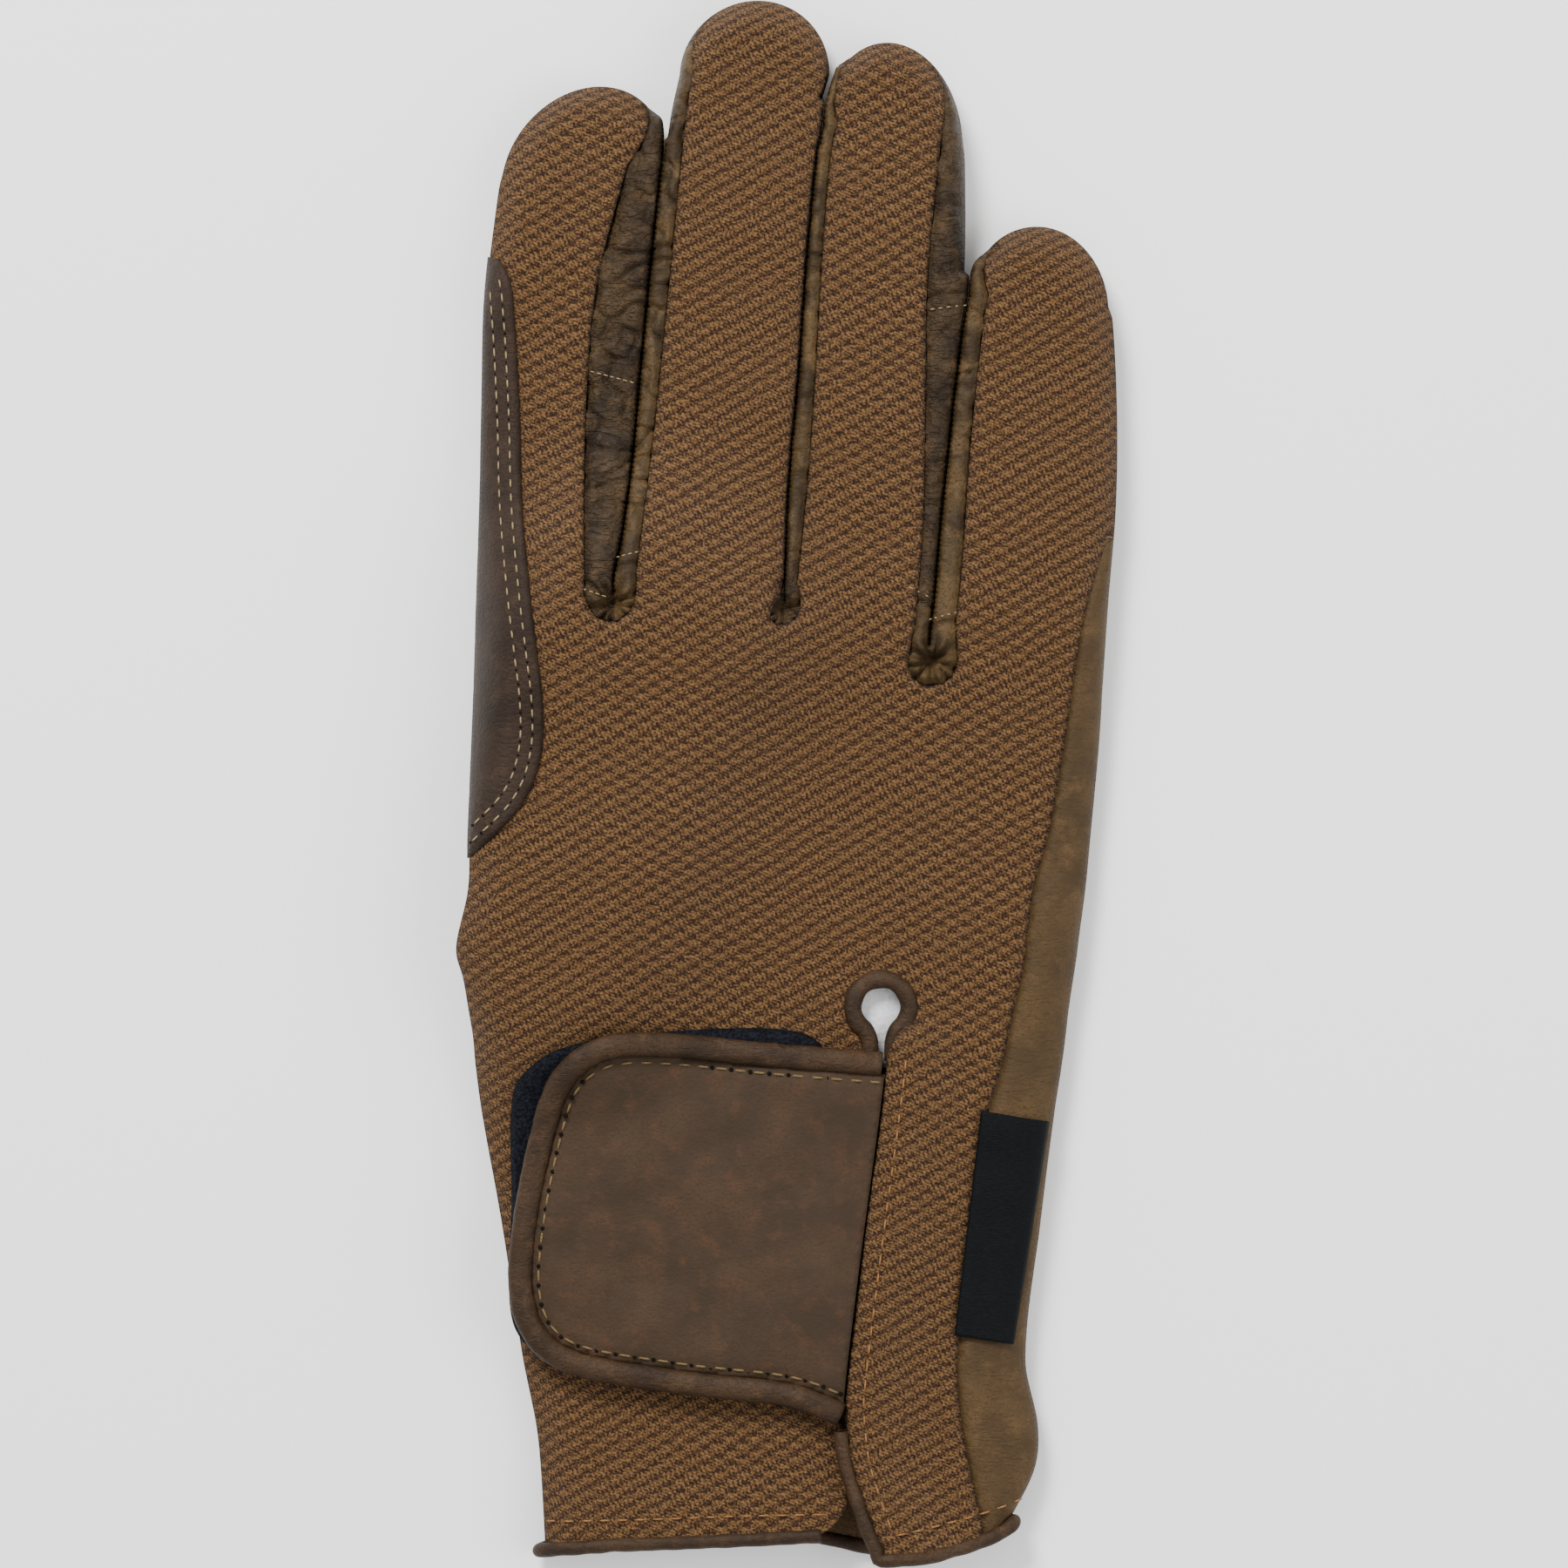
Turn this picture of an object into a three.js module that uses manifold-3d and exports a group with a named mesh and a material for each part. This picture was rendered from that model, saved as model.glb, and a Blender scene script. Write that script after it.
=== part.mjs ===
import * as THREE from "three";
import { mergeVertices } from "three/addons/utils/BufferGeometryUtils.js";
import Module from "manifold-3d";

// A right-hand riding glove lying on its palm, fingers towards +Y, little finger at +X, in millimetres.
// The hand is one hollow form, cut along its seams into a knitted back, a leather palm and the leather
// gussets between the fingers. The thumb is a flat tube tucked under the palm.

const wasm = await Module();
wasm.setup();

// Overall sizes
const palmWidth = 96.5; // across the knuckles
const handLength = 144.5; // from the hem to the fork of the middle finger
const handDepth = 9.6; // back to palm, lying flat
const indexLength = 78;
const middleLength = 92;
const ringLength = 89.5;
const littleLength = 68.5;
const fingerDepth = 11;
const edgeRound = 6; // width of the roll at each side of a finger or of the hand
const backCrown = 0.9; // rise of the back's middle over its sides

// Walls and clearances
const wall = 1.2;
const seamGap = 0.3;
const layerGap = 0.7; // under a flat layer on the curved back

// Thumb, folded under the palm
const thumbLength = 46; // between the centres of its two round ends
const thumbWidth = 22;
const thumbDepth = 7.8;
const thumbLean = 19; // degrees from the finger direction, towards the little finger
const thumbSkirt = 11; // how far the palm takes to come down beside it
const backSkirt = 24; // the same on the back, where the bump is softer
const thumbHoleLength = 27;
const thumbHoleWidth = 13;

// Closure and trim
const padThick = 1.4;
const strapThick = 1.5;
const strapCorner = 9;
const strapFall = 9; // past the pad's end the strap comes down over this length
const strapRollWidth = 3.6;
const strapRollDepth = 2.4;
const slitLift = 2.6; // the flap beside the slit lies over the strap's sewn end
const liftReach = 15; // width of that rise
const rollRadius = 1.2; // leather binding of hem and slit
const hemClear = 0.05; // the binding stays just off the floor
const hemFlat = 7.5; // length of palm that stays level beside the binding
const keyholeRadius = 4.35; // to the middle of its binding
const keyholeRoll = 1.3;
const patchThick = 1.0;
const labelThick = 0.8;

// Across positions are shares of palmWidth from the glove's middle line, heights are shares of handLength
// from the hem. The right seam is where the knit meets the palm leather that wraps over the side.
const handSections = [
  { at: -0.02, left: -0.386, right: 0.33, seam: 0.318 },
  { at: 0.026, left: -0.389, right: 0.345, seam: 0.312 },
  { at: 0.093, left: -0.395, right: 0.394, seam: 0.291 },
  { at: 0.139, left: -0.402, right: 0.4, seam: 0.278 },
  { at: 0.213, left: -0.424, right: 0.38, seam: 0.27 },
  { at: 0.362, left: -0.458, right: 0.405, seam: 0.295 },
  { at: 0.473, left: -0.488, right: 0.426, seam: 0.319 },
  { at: 0.584, left: -0.509, right: 0.449, seam: 0.356 },
  { at: 0.659, left: -0.527, right: 0.465, seam: 0.378 },
  { at: 0.714, left: -0.503, right: 0.476, seam: 0.392 },
  { at: 0.77, left: -0.494, right: 0.484, seam: 0.415 },
  { at: 0.881, left: -0.491, right: 0.499, seam: 0.444 },
  { at: 1.0, left: -0.484, right: 0.508, seam: 0.472 },
  { at: 1.1, left: -0.48, right: 0.52, seam: 0.515 },
];

// Points where the fingers part, with the two outer sides first and last
const forks = [
  { x: -0.484, at: 1.011 },
  { x: -0.277, at: 1.029 },
  { x: -0.006, at: 1.02 },
  { x: 0.226, at: 0.974 },
  { x: 0.502, at: 0.918 },
];

// How far the gussets' round lower ends reach below the forks and past the seams
const forkBulbs = [
  { sink: 0.045, widen: 0.004 },
  { sink: 0.04, widen: 0.004 },
  { sink: 0.058, widen: 0.016 },
];

// Sections up each finger, as shares of its length. The seams are the edges of the knit on the back.
const fingers = [
  {
    name: "index",
    length: indexLength,
    tip: -0.3,
    sections: [
      { at: 0, left: -0.484, seamLeft: -0.484, seamRight: -0.322, right: -0.281 },
      { at: 0.2, left: -0.478, seamLeft: -0.478, seamRight: -0.324, right: -0.257 },
      { at: 0.4, left: -0.473, seamLeft: -0.473, seamRight: -0.32, right: -0.24 },
      { at: 0.6, left: -0.471, seamLeft: -0.471, seamRight: -0.305, right: -0.223 },
      { at: 0.8, left: -0.462, seamLeft: -0.462, seamRight: -0.265, right: -0.207 },
      { at: 0.84, left: -0.455, seamLeft: -0.455, seamRight: -0.255, right: -0.203 },
    ],
  },
  {
    name: "middle",
    length: middleLength,
    tip: -0.048,
    sections: [
      { at: 0, left: -0.271, seamLeft: -0.243, seamRight: -0.017, right: -0.011 },
      { at: 0.2, left: -0.245, seamLeft: -0.222, seamRight: 0.001, right: -0.004 },
      { at: 0.4, left: -0.23, seamLeft: -0.198, seamRight: 0.018, right: 0.013 },
      { at: 0.6, left: -0.212, seamLeft: -0.181, seamRight: 0.031, right: 0.026 },
      { at: 0.8, left: -0.188, seamLeft: -0.162, seamRight: 0.05, right: 0.046 },
      { at: 0.875, left: -0.179, seamLeft: -0.155, seamRight: 0.081, right: 0.076 },
    ],
  },
  {
    name: "ring",
    length: ringLength,
    tip: 0.159,
    sections: [
      { at: 0, left: -0.001, seamLeft: 0.012, seamRight: 0.2, right: 0.222 },
      { at: 0.2, left: 0.006, seamLeft: 0.031, seamRight: 0.215, right: 0.237 },
      { at: 0.4, left: 0.022, seamLeft: 0.044, seamRight: 0.219, right: 0.261 },
      { at: 0.6, left: 0.035, seamLeft: 0.054, seamRight: 0.222, right: 0.281 },
      { at: 0.8, left: 0.054, seamLeft: 0.067, seamRight: 0.24, right: 0.283 },
      { at: 0.85, left: 0.066, seamLeft: 0.073, seamRight: 0.246, right: 0.278 },
    ],
  },
  {
    name: "little",
    length: littleLength,
    tip: 0.398,
    sections: [
      { at: 0, left: 0.232, seamLeft: 0.264, seamRight: 0.48, right: 0.502 },
      { at: 0.2, left: 0.245, seamLeft: 0.278, seamRight: 0.504, right: 0.512 },
      { at: 0.4, left: 0.257, seamLeft: 0.287, seamRight: 0.522, right: 0.524 },
      { at: 0.6, left: 0.269, seamLeft: 0.299, seamRight: 0.526, right: 0.526 },
      { at: 0.8, left: 0.289, seamLeft: 0.315, seamRight: 0.519, right: 0.519 },
      { at: 0.83, left: 0.292, seamLeft: 0.318, seamRight: 0.512, right: 0.512 },
    ],
  },
];

// The slit from the keyhole to the hem: edge of the left part, and fold of the right part over it
const slit = [
  { at: -0.04, left: 0.058, right: 0.18 },
  { at: 0, left: 0.058, right: 0.159 },
  { at: 0.023, left: 0.058, right: 0.14 },
  { at: 0.056, left: 0.058, right: 0.122 },
  { at: 0.103, left: 0.062, right: 0.099 },
  { at: 0.146, left: 0.072, right: 0.092 },
  { at: 0.174, left: 0.079, right: 0.09 },
  { at: 0.3, left: 0.105, right: 0.113 },
  { at: 0.54, left: 0.15, right: 0.158 },
  { at: 0.6, left: 0.15, right: 0.158 },
];

// Edge of the hem, across from 0 at the index side to 1 at the little side, either side of the slit
const hemLeft = [
  { at: 0, y: 0.006 },
  { at: 0.25, y: 0.014 },
  { at: 0.62, y: 0.02 },
];
const hemRight = [
  { at: 0.66, y: 0.0 },
  { at: 0.75, y: -0.0065 },
  { at: 0.86, y: -0.004 },
  { at: 0.94, y: 0.008 },
  { at: 1, y: 0.027 },
];

// Inner edge of the reinforcement patch, from the fingertip end down
const patchEdge = [
  { at: 1.392, x: -0.5 },
  { at: 1.385, x: -0.456 },
  { at: 1.361, x: -0.437 },
  { at: 1.326, x: -0.427 },
  { at: 1.122, x: -0.423 },
  { at: 1.037, x: -0.412 },
  { at: 0.944, x: -0.391 },
  { at: 0.89, x: -0.386 },
  { at: 0.843, x: -0.395 },
  { at: 0.792, x: -0.423 },
  { at: 0.76, x: -0.475 },
  { at: 0.742, x: -0.53 },
];

// Corners of the strap, the loop pad under it and the woven label, counter-clockwise
const strapCorners = [
  { x: 0.09, at: 0.141, corner: 0 },
  { x: 0.158, at: 0.54, corner: 0 },
  { x: -0.367, at: 0.571, corner: 1 },
  { x: -0.451, at: 0.204, corner: 1.15 },
];
const padCorners = [
  { x: -0.03, at: 0.215, corner: 0.2 },
  { x: 0.06, at: 0.562, corner: 0.5 },
  { x: -0.435, at: 0.553, corner: 1 },
  { x: -0.435, at: 0.215, corner: 1 },
];
const labelCorners = [
  { x: 0.363, at: 0.23, corner: 0 },
  { x: 0.419, at: 0.466, corner: 0 },
  { x: 0.309, at: 0.478, corner: 0 },
  { x: 0.266, at: 0.239, corner: 0 },
];

// Depth from back to palm, as a share of handDepth
const handDepths = [
  { at: -0.05, depth: 0.9 },
  { at: 0.2, depth: 0.9 },
  { at: 0.55, depth: 0.96 },
  { at: 0.85, depth: 1.0 },
  { at: 1.1, depth: 1.0 },
];
const sideShare = 0.44; // height of the side seams as a share of the depth
const backRaise = 0.93; // share of the thumb's bump that shows on the back
const forkRise = { start: 0.87, end: 1.02 }; // where the hand's depth turns into the fingers'
const forkDip = 13; // length of the dip behind each fork
const keyholeAt = 0.587;
const keyholeAcross = 0.151;
const slitFade = 0.85; // above this share of the hand the slit no longer draws the columns aside
const slitMargin = 0.2; // knit beyond the slit's edge that the cut takes away
const seamsMeet = 0.75; // share of a fingertip by which the seams have run into its outline
const palmFlatten = 1.04; // the palm lies flatter towards the sides than the back
const gussetStart = 0.03; // gussets begin at this share of a finger
const gussetTip = 0.72; // and reach this share of its tip
const slitFoot = -0.04; // the slit's cut starts below the hem
const thumbTaper = 0.86; // width at the thumb's tip as a share of its base
const thumbFullness = 1.3;
const thumbEndFall = 0.6; // how bluntly the thumb's ends come down
const thumbBase = { x: -0.4, at: 0.68 }; // centre of the thumb's lower round end

// Mesh density
const fingerColumns = [-1, -0.86, -0.5, 0, 0.5, 0.86, 1];
const fingerRows = [0.13, 0.3, 0.47, 0.65];
const capAngles = [0, 30, 54, 76];
const handRows = [0, 0.05, 0.11, 0.19, 0.28, 0.37, 0.45, 0.52, 0.58, 0.64, 0.7, 0.78, 0.86, 0.93, 0.97, 1];
const rollSides = 6;
const high = 60; // above everything

const clamp = THREE.MathUtils.clamp;
const mix = THREE.MathUtils.lerp;
const ramp = (value, from, to) => THREE.MathUtils.smoothstep(value, from, to);

// A smooth curve through one column of a table
function track(rows, key) {
  const slope = (i) => {
    const before = rows[Math.max(i - 1, 0)];
    const after = rows[Math.min(i + 1, rows.length - 1)];
    return (after[key] - before[key]) / (after.at - before.at);
  };
  return (at) => {
    if (at <= rows[0].at) return rows[0][key];
    const i = rows.findIndex((row) => row.at >= at);
    if (i < 0) return rows[rows.length - 1][key];
    const span = rows[i].at - rows[i - 1].at;
    const t = (at - rows[i - 1].at) / span;
    const first = slope(i - 1) * span;
    const last = slope(i) * span;
    const step = rows[i][key] - rows[i - 1][key];
    const bend = 3 * step - 2 * first - last;
    return rows[i - 1][key] + t * (first + t * (bend + t * (first + last - 2 * step)));
  };
}

const handLeft = track(handSections, "left");
const handRight = track(handSections, "right");
const handSeam = track(handSections, "seam");
const slitLeft = track(slit, "left");
const slitRight = track(slit, "right");
const depthShare = track(handDepths, "depth");
const hemLeftY = track(hemLeft, "y");
const hemRightY = track(hemRight, "y");

// Thumb, in its own direction
const lean = THREE.MathUtils.degToRad(thumbLean);
const thumbAxis = new THREE.Vector2(Math.sin(lean), Math.cos(lean));
const thumbStart = new THREE.Vector2(thumbBase.x * palmWidth, thumbBase.at * handLength);

// Distance from a point to the line between the thumb's round ends
function awayFromThumb(x, y) {
  const from = new THREE.Vector2(x, y).sub(thumbStart);
  const along = clamp(from.dot(thumbAxis), 0, thumbLength);
  return from.addScaledVector(thumbAxis, -along).length();
}

// How far the thumb lifts what lies over it, coming down to nothing at reach from its side
function bump(x, y, reach) {
  const beside = awayFromThumb(x, y) - thumbWidth / 2;
  return (thumbDepth + seamGap) * (1 - ramp(beside, 0, reach));
}

// Near the hem the binding keeps the palm off the floor
const hemRise = (y) => (rollRadius - wall / 2 + hemClear) * (1 - ramp(y, hemFlat, 2 * hemFlat));

const floorHeight = (x, y) => bump(x, y, thumbSkirt) + hemRise(y);

function depthAt(y) {
  const at = y / handLength;
  return mix(handDepth * depthShare(at), fingerDepth, ramp(at, forkRise.start, forkRise.end));
}

const sideHeight = (x, y) => floorHeight(x, y) + sideShare * depthAt(y);

// The slit's flap rises beside the slit from the strap's upper edge down to the hem
function flapLift(x, y) {
  const at = y / handLength;
  const below = 1 - ramp(at, strapCorners[1].at, keyholeAt);
  const beside = x - palmWidth * slitRight(at);
  const across = beside < 0 ? ramp(beside, -2 * seamGap, 0) : 1 - ramp(beside, 0, liftReach);
  return slitLift * below * across;
}

// Height of the back, without the roll at its sides
function backHeight(x, y) {
  const at = y / handLength;
  const half = (palmWidth * (handRight(at) - handLeft(at))) / 2;
  const middle = (palmWidth * (handRight(at) + handLeft(at))) / 2;
  const across = clamp((x - middle) / half, -1, 1);
  const raise = bump(x, y, backSkirt) * backRaise + hemRise(y);
  return depthAt(y) + raise + backCrown * (1 - across * across) - backCrown + flapLift(x, y);
}

const roundOff = (inside) => Math.sqrt(1 - (1 - clamp(inside / edgeRound, 0, 1)) ** 2);

// Heights of back and palm from a point's distance to the side, scaled down at a fingertip
function topAndBottom(x, y, inside, tipShare) {
  const side = sideHeight(x, y);
  const floor = floorHeight(x, y);
  const rise = roundOff(inside) * tipShare;
  return {
    side,
    top: mix(side, backHeight(x, y), rise),
    bottom: mix(side, floor, Math.min(1, rise * palmFlatten)),
  };
}

// Finger k at column position s from -1 to 1, with the tip as a half ellipse
function fingerOutline(k) {
  const finger = fingers[k];
  const rows = finger.sections;
  const left = track(rows, "left");
  const right = track(rows, "right");
  const seamLeft = track(rows, "seamLeft");
  const seamRight = track(rows, "seamRight");
  const capAt = rows[rows.length - 1].at;
  const rootY = (s) => handLength * mix(forks[k].at, forks[k + 1].at, (s + 1) / 2);
  const tipY = rootY(0) + finger.length;
  return (at) => {
    const body = Math.min(at, capAt);
    const t = at > capAt ? (at - capAt) / (1 - capAt) : 0;
    const round = Math.sqrt(Math.max(0, 1 - t * t));
    const middle = mix((left(body) + right(body)) / 2, finger.tip, t);
    const half = ((right(body) - left(body)) / 2) * round;
    const edge = (seam, outer) => {
      const inner = (seam(body) - (left(body) + right(body)) / 2) / ((right(body) - left(body)) / 2);
      return palmWidth * (middle + half * mix(inner, outer, clamp(t / seamsMeet, 0, 1)));
    };
    return {
      x: (s) => palmWidth * (middle + half * s),
      y: (s) => mix(rootY(s), tipY, at),
      half: palmWidth * half,
      round,
      seamLeft: edge(seamLeft, -1),
      seamRight: edge(seamRight, 1),
    };
  };
}

const outlines = fingers.map((finger, k) => fingerOutline(k));

const rowsUpFinger = (k) => {
  const rows = fingers[k].sections;
  const capAt = rows[rows.length - 1].at;
  const caps = capAngles.map((angle) => capAt + (1 - capAt) * Math.sin(THREE.MathUtils.degToRad(angle)));
  return [...fingerRows, ...caps];
};

const spans = fingerColumns.length - 1;
const columns = fingers.length * spans; // spans across the hand
const slitColumn = 3 * spans;
const forkShare = forks.map((fork) => (fork.x - forks[0].x) / (forks[4].x - forks[0].x));

// Share across the hand of column g, before the columns are drawn to the slit
function shareAcross(g) {
  const k = Math.min(Math.floor(g / spans), fingers.length - 1);
  const s = fingerColumns[g - k * spans];
  return mix(forkShare[k], forkShare[k + 1], (s + 1) / 2);
}

// Edge of the hem at a share across the hand
const hemMiddle = (hemLeft[2].at + hemRight[0].at) / 2;
const hemHeight = (share) => handLength * (share < hemMiddle ? hemLeftY(share) : hemRightY(share));
const panelHem = (share) => hemHeight(share) + 2 * rollRadius + seamGap;

// Point of the hand at column g and share v of the way from the hem to the forks
function handPoint(g, v) {
  const share = shareAcross(g);
  const k = Math.min(Math.floor(g / spans), fingers.length - 1);
  const s = fingerColumns[g - k * spans];
  const forkY = handLength * mix(forks[k].at, forks[k + 1].at, (s + 1) / 2);
  const nearSlit = 1 - ramp(v, keyholeAt, slitFade);
  let hemShare = hemMiddle;
  if (g < slitColumn) hemShare = (share / forkShare[3]) * hemLeft[2].at;
  if (g > slitColumn) hemShare = mix(hemRight[0].at, 1, (share - forkShare[3]) / (1 - forkShare[3]));
  const y = mix(panelHem(hemShare), forkY, v);
  const at = y / handLength;
  const left = palmWidth * handLeft(at);
  const right = palmWidth * handRight(at);
  const fan = mix(left, right, share);
  const cutLeft = palmWidth * slitLeft(at) - slitMargin;
  const cutRight = palmWidth * slitRight(at) + slitMargin;
  let drawn = (cutLeft + cutRight) / 2;
  if (g < slitColumn) drawn = mix(left, cutLeft, share / shareAcross(slitColumn - 1));
  if (g > slitColumn) {
    const first = shareAcross(slitColumn + 1);
    drawn = mix(cutRight, right, (share - first) / (1 - first));
  }
  const x = mix(fan, drawn, nearSlit);
  const lobe = outlines[k](0);
  const lobeInside = lobe.half * (1 - Math.abs(s));
  const dip = (1 - ramp((1 - v) * handLength, 0, forkDip)) ** 2;
  const inside = mix(Math.min(x - left, right - x), lobeInside, dip);
  return { x, y, ...topAndBottom(x, y, Math.max(0, inside), 1) };
}

// Point of finger k at column i and height share at
function fingerPoint(k, i, at) {
  const s = fingerColumns[i];
  const outline = outlines[k](at);
  const x = outline.x(s);
  const y = outline.y(s);
  return { x, y, ...topAndBottom(x, y, outline.half * (1 - Math.abs(s)), outline.round) };
}

// Adds a four-sided face as two triangles, leaving out one that has shrunk to a line
const quadsInto = (faces) => (a, b, c, d) => {
  if (a !== b && b !== c && a !== c) faces.push([a, b, c]);
  if (a !== c && c !== d && a !== d) faces.push([a, c, d]);
};

// The closed surface of hand and fingers. Back and palm share their points along the outline.
function handMesh() {
  const points = [];
  const faces = [];
  const add = (x, y, z) => points.push(new THREE.Vector3(x, y, z)) - 1;
  const pair = (p, joined) => {
    const top = add(p.x, p.y, joined ? p.side : p.top);
    return { top, bottom: joined ? top : add(p.x, p.y, p.bottom) };
  };
  const hand = handRows.map((v) => {
    const row = [];
    for (let g = 0; g <= columns; g++) {
      const atFork = v === 1 && g % spans === 0;
      row.push(pair(handPoint(g, v), g === 0 || g === columns || atFork));
    }
    return row;
  });
  const quad = quadsInto(faces);
  const cell = (low, high, i) => {
    quad(low[i].top, low[i + 1].top, high[i + 1].top, high[i].top);
    quad(low[i].bottom, high[i].bottom, high[i + 1].bottom, low[i + 1].bottom);
  };
  for (let r = 0; r + 1 < hand.length; r++) for (let g = 0; g < columns; g++) cell(hand[r], hand[r + 1], g);
  fingers.forEach((finger, k) => {
    const heights = rowsUpFinger(k);
    let low = hand[hand.length - 1].slice(k * spans, (k + 1) * spans + 1);
    heights.forEach((at, r) => {
      const last = r === heights.length - 1;
      const row = fingerColumns.map((s, i) => pair(fingerPoint(k, i, at), last || i === 0 || i === spans));
      for (let i = 0; i < spans; i++) cell(low, row, i);
      low = row;
    });
  });
  return { points, faces, hem: hand[0] };
}

const glove = handMesh();
const normals = glove.points.map(() => new THREE.Vector3());
for (const [a, b, c] of glove.faces) {
  const [p, q, r] = [a, b, c].map((i) => glove.points[i]);
  const normal = q.clone().sub(p).cross(r.clone().sub(p));
  [a, b, c].forEach((i) => normals[i].add(normal));
}
normals.forEach((normal) => normal.normalize());

function solidFrom(points, faces) {
  const vertProperties = new Float32Array(points.flatMap((p) => [p.x, p.y, p.z]));
  const triVerts = new Uint32Array(faces.flat());
  return new wasm.Manifold(new wasm.Mesh({ numProp: 3, vertProperties, triVerts }));
}

// The hand's form moved out by grow, and at the mouth reached past the hem by past
function handForm(grow, past) {
  const points = glove.points.map((p, i) => p.clone().addScaledVector(normals[i], grow));
  const faces = [...glove.faces];
  const lower = glove.hem.map(({ top, bottom }) => {
    const drop = (i) => {
      const p = points[i].clone();
      p.y -= past;
      return points.push(p) - 1;
    };
    const first = drop(top);
    return { top: first, bottom: top === bottom ? first : drop(bottom) };
  });
  const close = quadsInto(faces);
  for (let g = 0; g < columns; g++) {
    const [up, down] = [glove.hem, lower];
    close(down[g].top, down[g + 1].top, up[g + 1].top, up[g].top);
    close(down[g].bottom, up[g].bottom, up[g + 1].bottom, down[g + 1].bottom);
    close(down[g].bottom, down[g + 1].bottom, down[g + 1].top, down[g].top);
  }
  return solidFrom(points, faces);
}

function solidOf(geometry) {
  const bare = geometry.index ? geometry.toNonIndexed() : geometry.clone();
  bare.deleteAttribute("normal");
  bare.deleteAttribute("uv");
  const merged = mergeVertices(bare, 1e-4);
  return new wasm.Manifold(
    new wasm.Mesh({
      numProp: 3,
      vertProperties: merged.attributes.position.array,
      triVerts: new Uint32Array(merged.index.array),
    }),
  );
}

// Upright prism over a flat outline
function prism(outline, from = -high, to = high) {
  const shape = new THREE.Shape(outline.map((p) => new THREE.Vector2(p.x, p.y)));
  const geometry = new THREE.ExtrudeGeometry(shape, { depth: to - from, bevelEnabled: false });
  return solidOf(geometry.translate(0, 0, from));
}

// Slab between two heights over a rectangle
function slab(low, top, box, across, along) {
  const points = [];
  const faces = [];
  const index = (i, j, upper) => (j * (across + 1) + i) * 2 + upper;
  for (let j = 0; j <= along; j++)
    for (let i = 0; i <= across; i++) {
      const x = mix(box.left, box.right, i / across);
      const y = mix(box.near, box.far, j / along);
      points.push(new THREE.Vector3(x, y, low(x, y)), new THREE.Vector3(x, y, top(x, y)));
    }
  const quad = quadsInto(faces);
  for (let j = 0; j < along; j++)
    for (let i = 0; i < across; i++) {
      quad(index(i, j, 1), index(i + 1, j, 1), index(i + 1, j + 1, 1), index(i, j + 1, 1));
      quad(index(i, j, 0), index(i, j + 1, 0), index(i + 1, j + 1, 0), index(i + 1, j, 0));
    }
  for (let i = 0; i < across; i++) {
    quad(index(i, 0, 0), index(i + 1, 0, 0), index(i + 1, 0, 1), index(i, 0, 1));
    quad(index(i + 1, along, 0), index(i, along, 0), index(i, along, 1), index(i + 1, along, 1));
  }
  for (let j = 0; j < along; j++) {
    quad(index(0, j + 1, 0), index(0, j, 0), index(0, j, 1), index(0, j + 1, 1));
    quad(index(across, j, 0), index(across, j + 1, 0), index(across, j + 1, 1), index(across, j, 1));
  }
  return solidFrom(points, faces);
}

// Round leather roll along a line that may turn any way
function roundRoll(line, radius, steps) {
  const section = new THREE.Shape();
  section.absarc(0, 0, radius, 0, 2 * Math.PI);
  const spots = section.getSpacedPoints(rollSides).slice(0, rollSides);
  const extrudePath = new THREE.CatmullRomCurve3(line, false, "centripetal");
  const shape = new THREE.Shape(spots);
  return solidOf(new THREE.ExtrudeGeometry(shape, { steps, extrudePath, bevelEnabled: false }));
}

// Leather roll that lies flat: width across the line, depth upright
function flatRoll(line, width, depth, steps) {
  const curve = new THREE.CatmullRomCurve3(line, false, "centripetal");
  const upright = new THREE.Vector3(0, 0, 1);
  const points = [];
  const faces = [];
  for (let j = 0; j <= steps; j++) {
    const centre = curve.getPoint(j / steps);
    const across = curve.getTangent(j / steps).cross(upright).normalize();
    for (let i = 0; i < rollSides; i++) {
      const turn = (2 * Math.PI * (i + 0.5)) / rollSides;
      const spot = centre.clone().addScaledVector(across, (Math.cos(turn) * width) / 2);
      points.push(spot.addScaledVector(upright, (Math.sin(turn) * depth) / 2));
    }
  }
  for (let i = 0; i < rollSides; i++) {
    const next = (i + 1) % rollSides;
    for (let j = 0; j < steps; j++) {
      const [low, far] = [j * rollSides, (j + 1) * rollSides];
      faces.push([low + i, far + next, low + next], [low + i, far + i, far + next]);
    }
    const end = steps * rollSides;
    if (i > 1) faces.push([0, i - 1, i], [end, end + i, end + i - 1]);
  }
  return solidFrom(points, faces);
}

// Corner table to a closed outline with round corners
function rounded(corners, radius) {
  const spots = corners.map((c) => new THREE.Vector2(c.x * palmWidth, c.at * handLength));
  return spots.flatMap((spot, i) => {
    const before = spots[(i + spots.length - 1) % spots.length];
    const after = spots[(i + 1) % spots.length];
    const size = radius * corners[i].corner;
    if (!size) return [spot];
    const into = spot.clone().sub(before).normalize();
    const out = after.clone().sub(spot).normalize();
    const curve = new THREE.QuadraticBezierCurve(
      spot.clone().addScaledVector(into, -size),
      spot,
      spot.clone().addScaledVector(out, size),
    );
    return curve.getPoints(6);
  });
}

const whole = {
  left: -palmWidth,
  right: palmWidth,
  near: -handLength / 4,
  far: handLength * 2,
};
const wholeGrid = { across: 32, along: 48 };
function aboveSeam(offset) {
  const low = (x, y) => sideHeight(x, y) + offset;
  return slab(low, () => high, whole, wholeGrid.across, wholeGrid.along);
}

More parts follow.
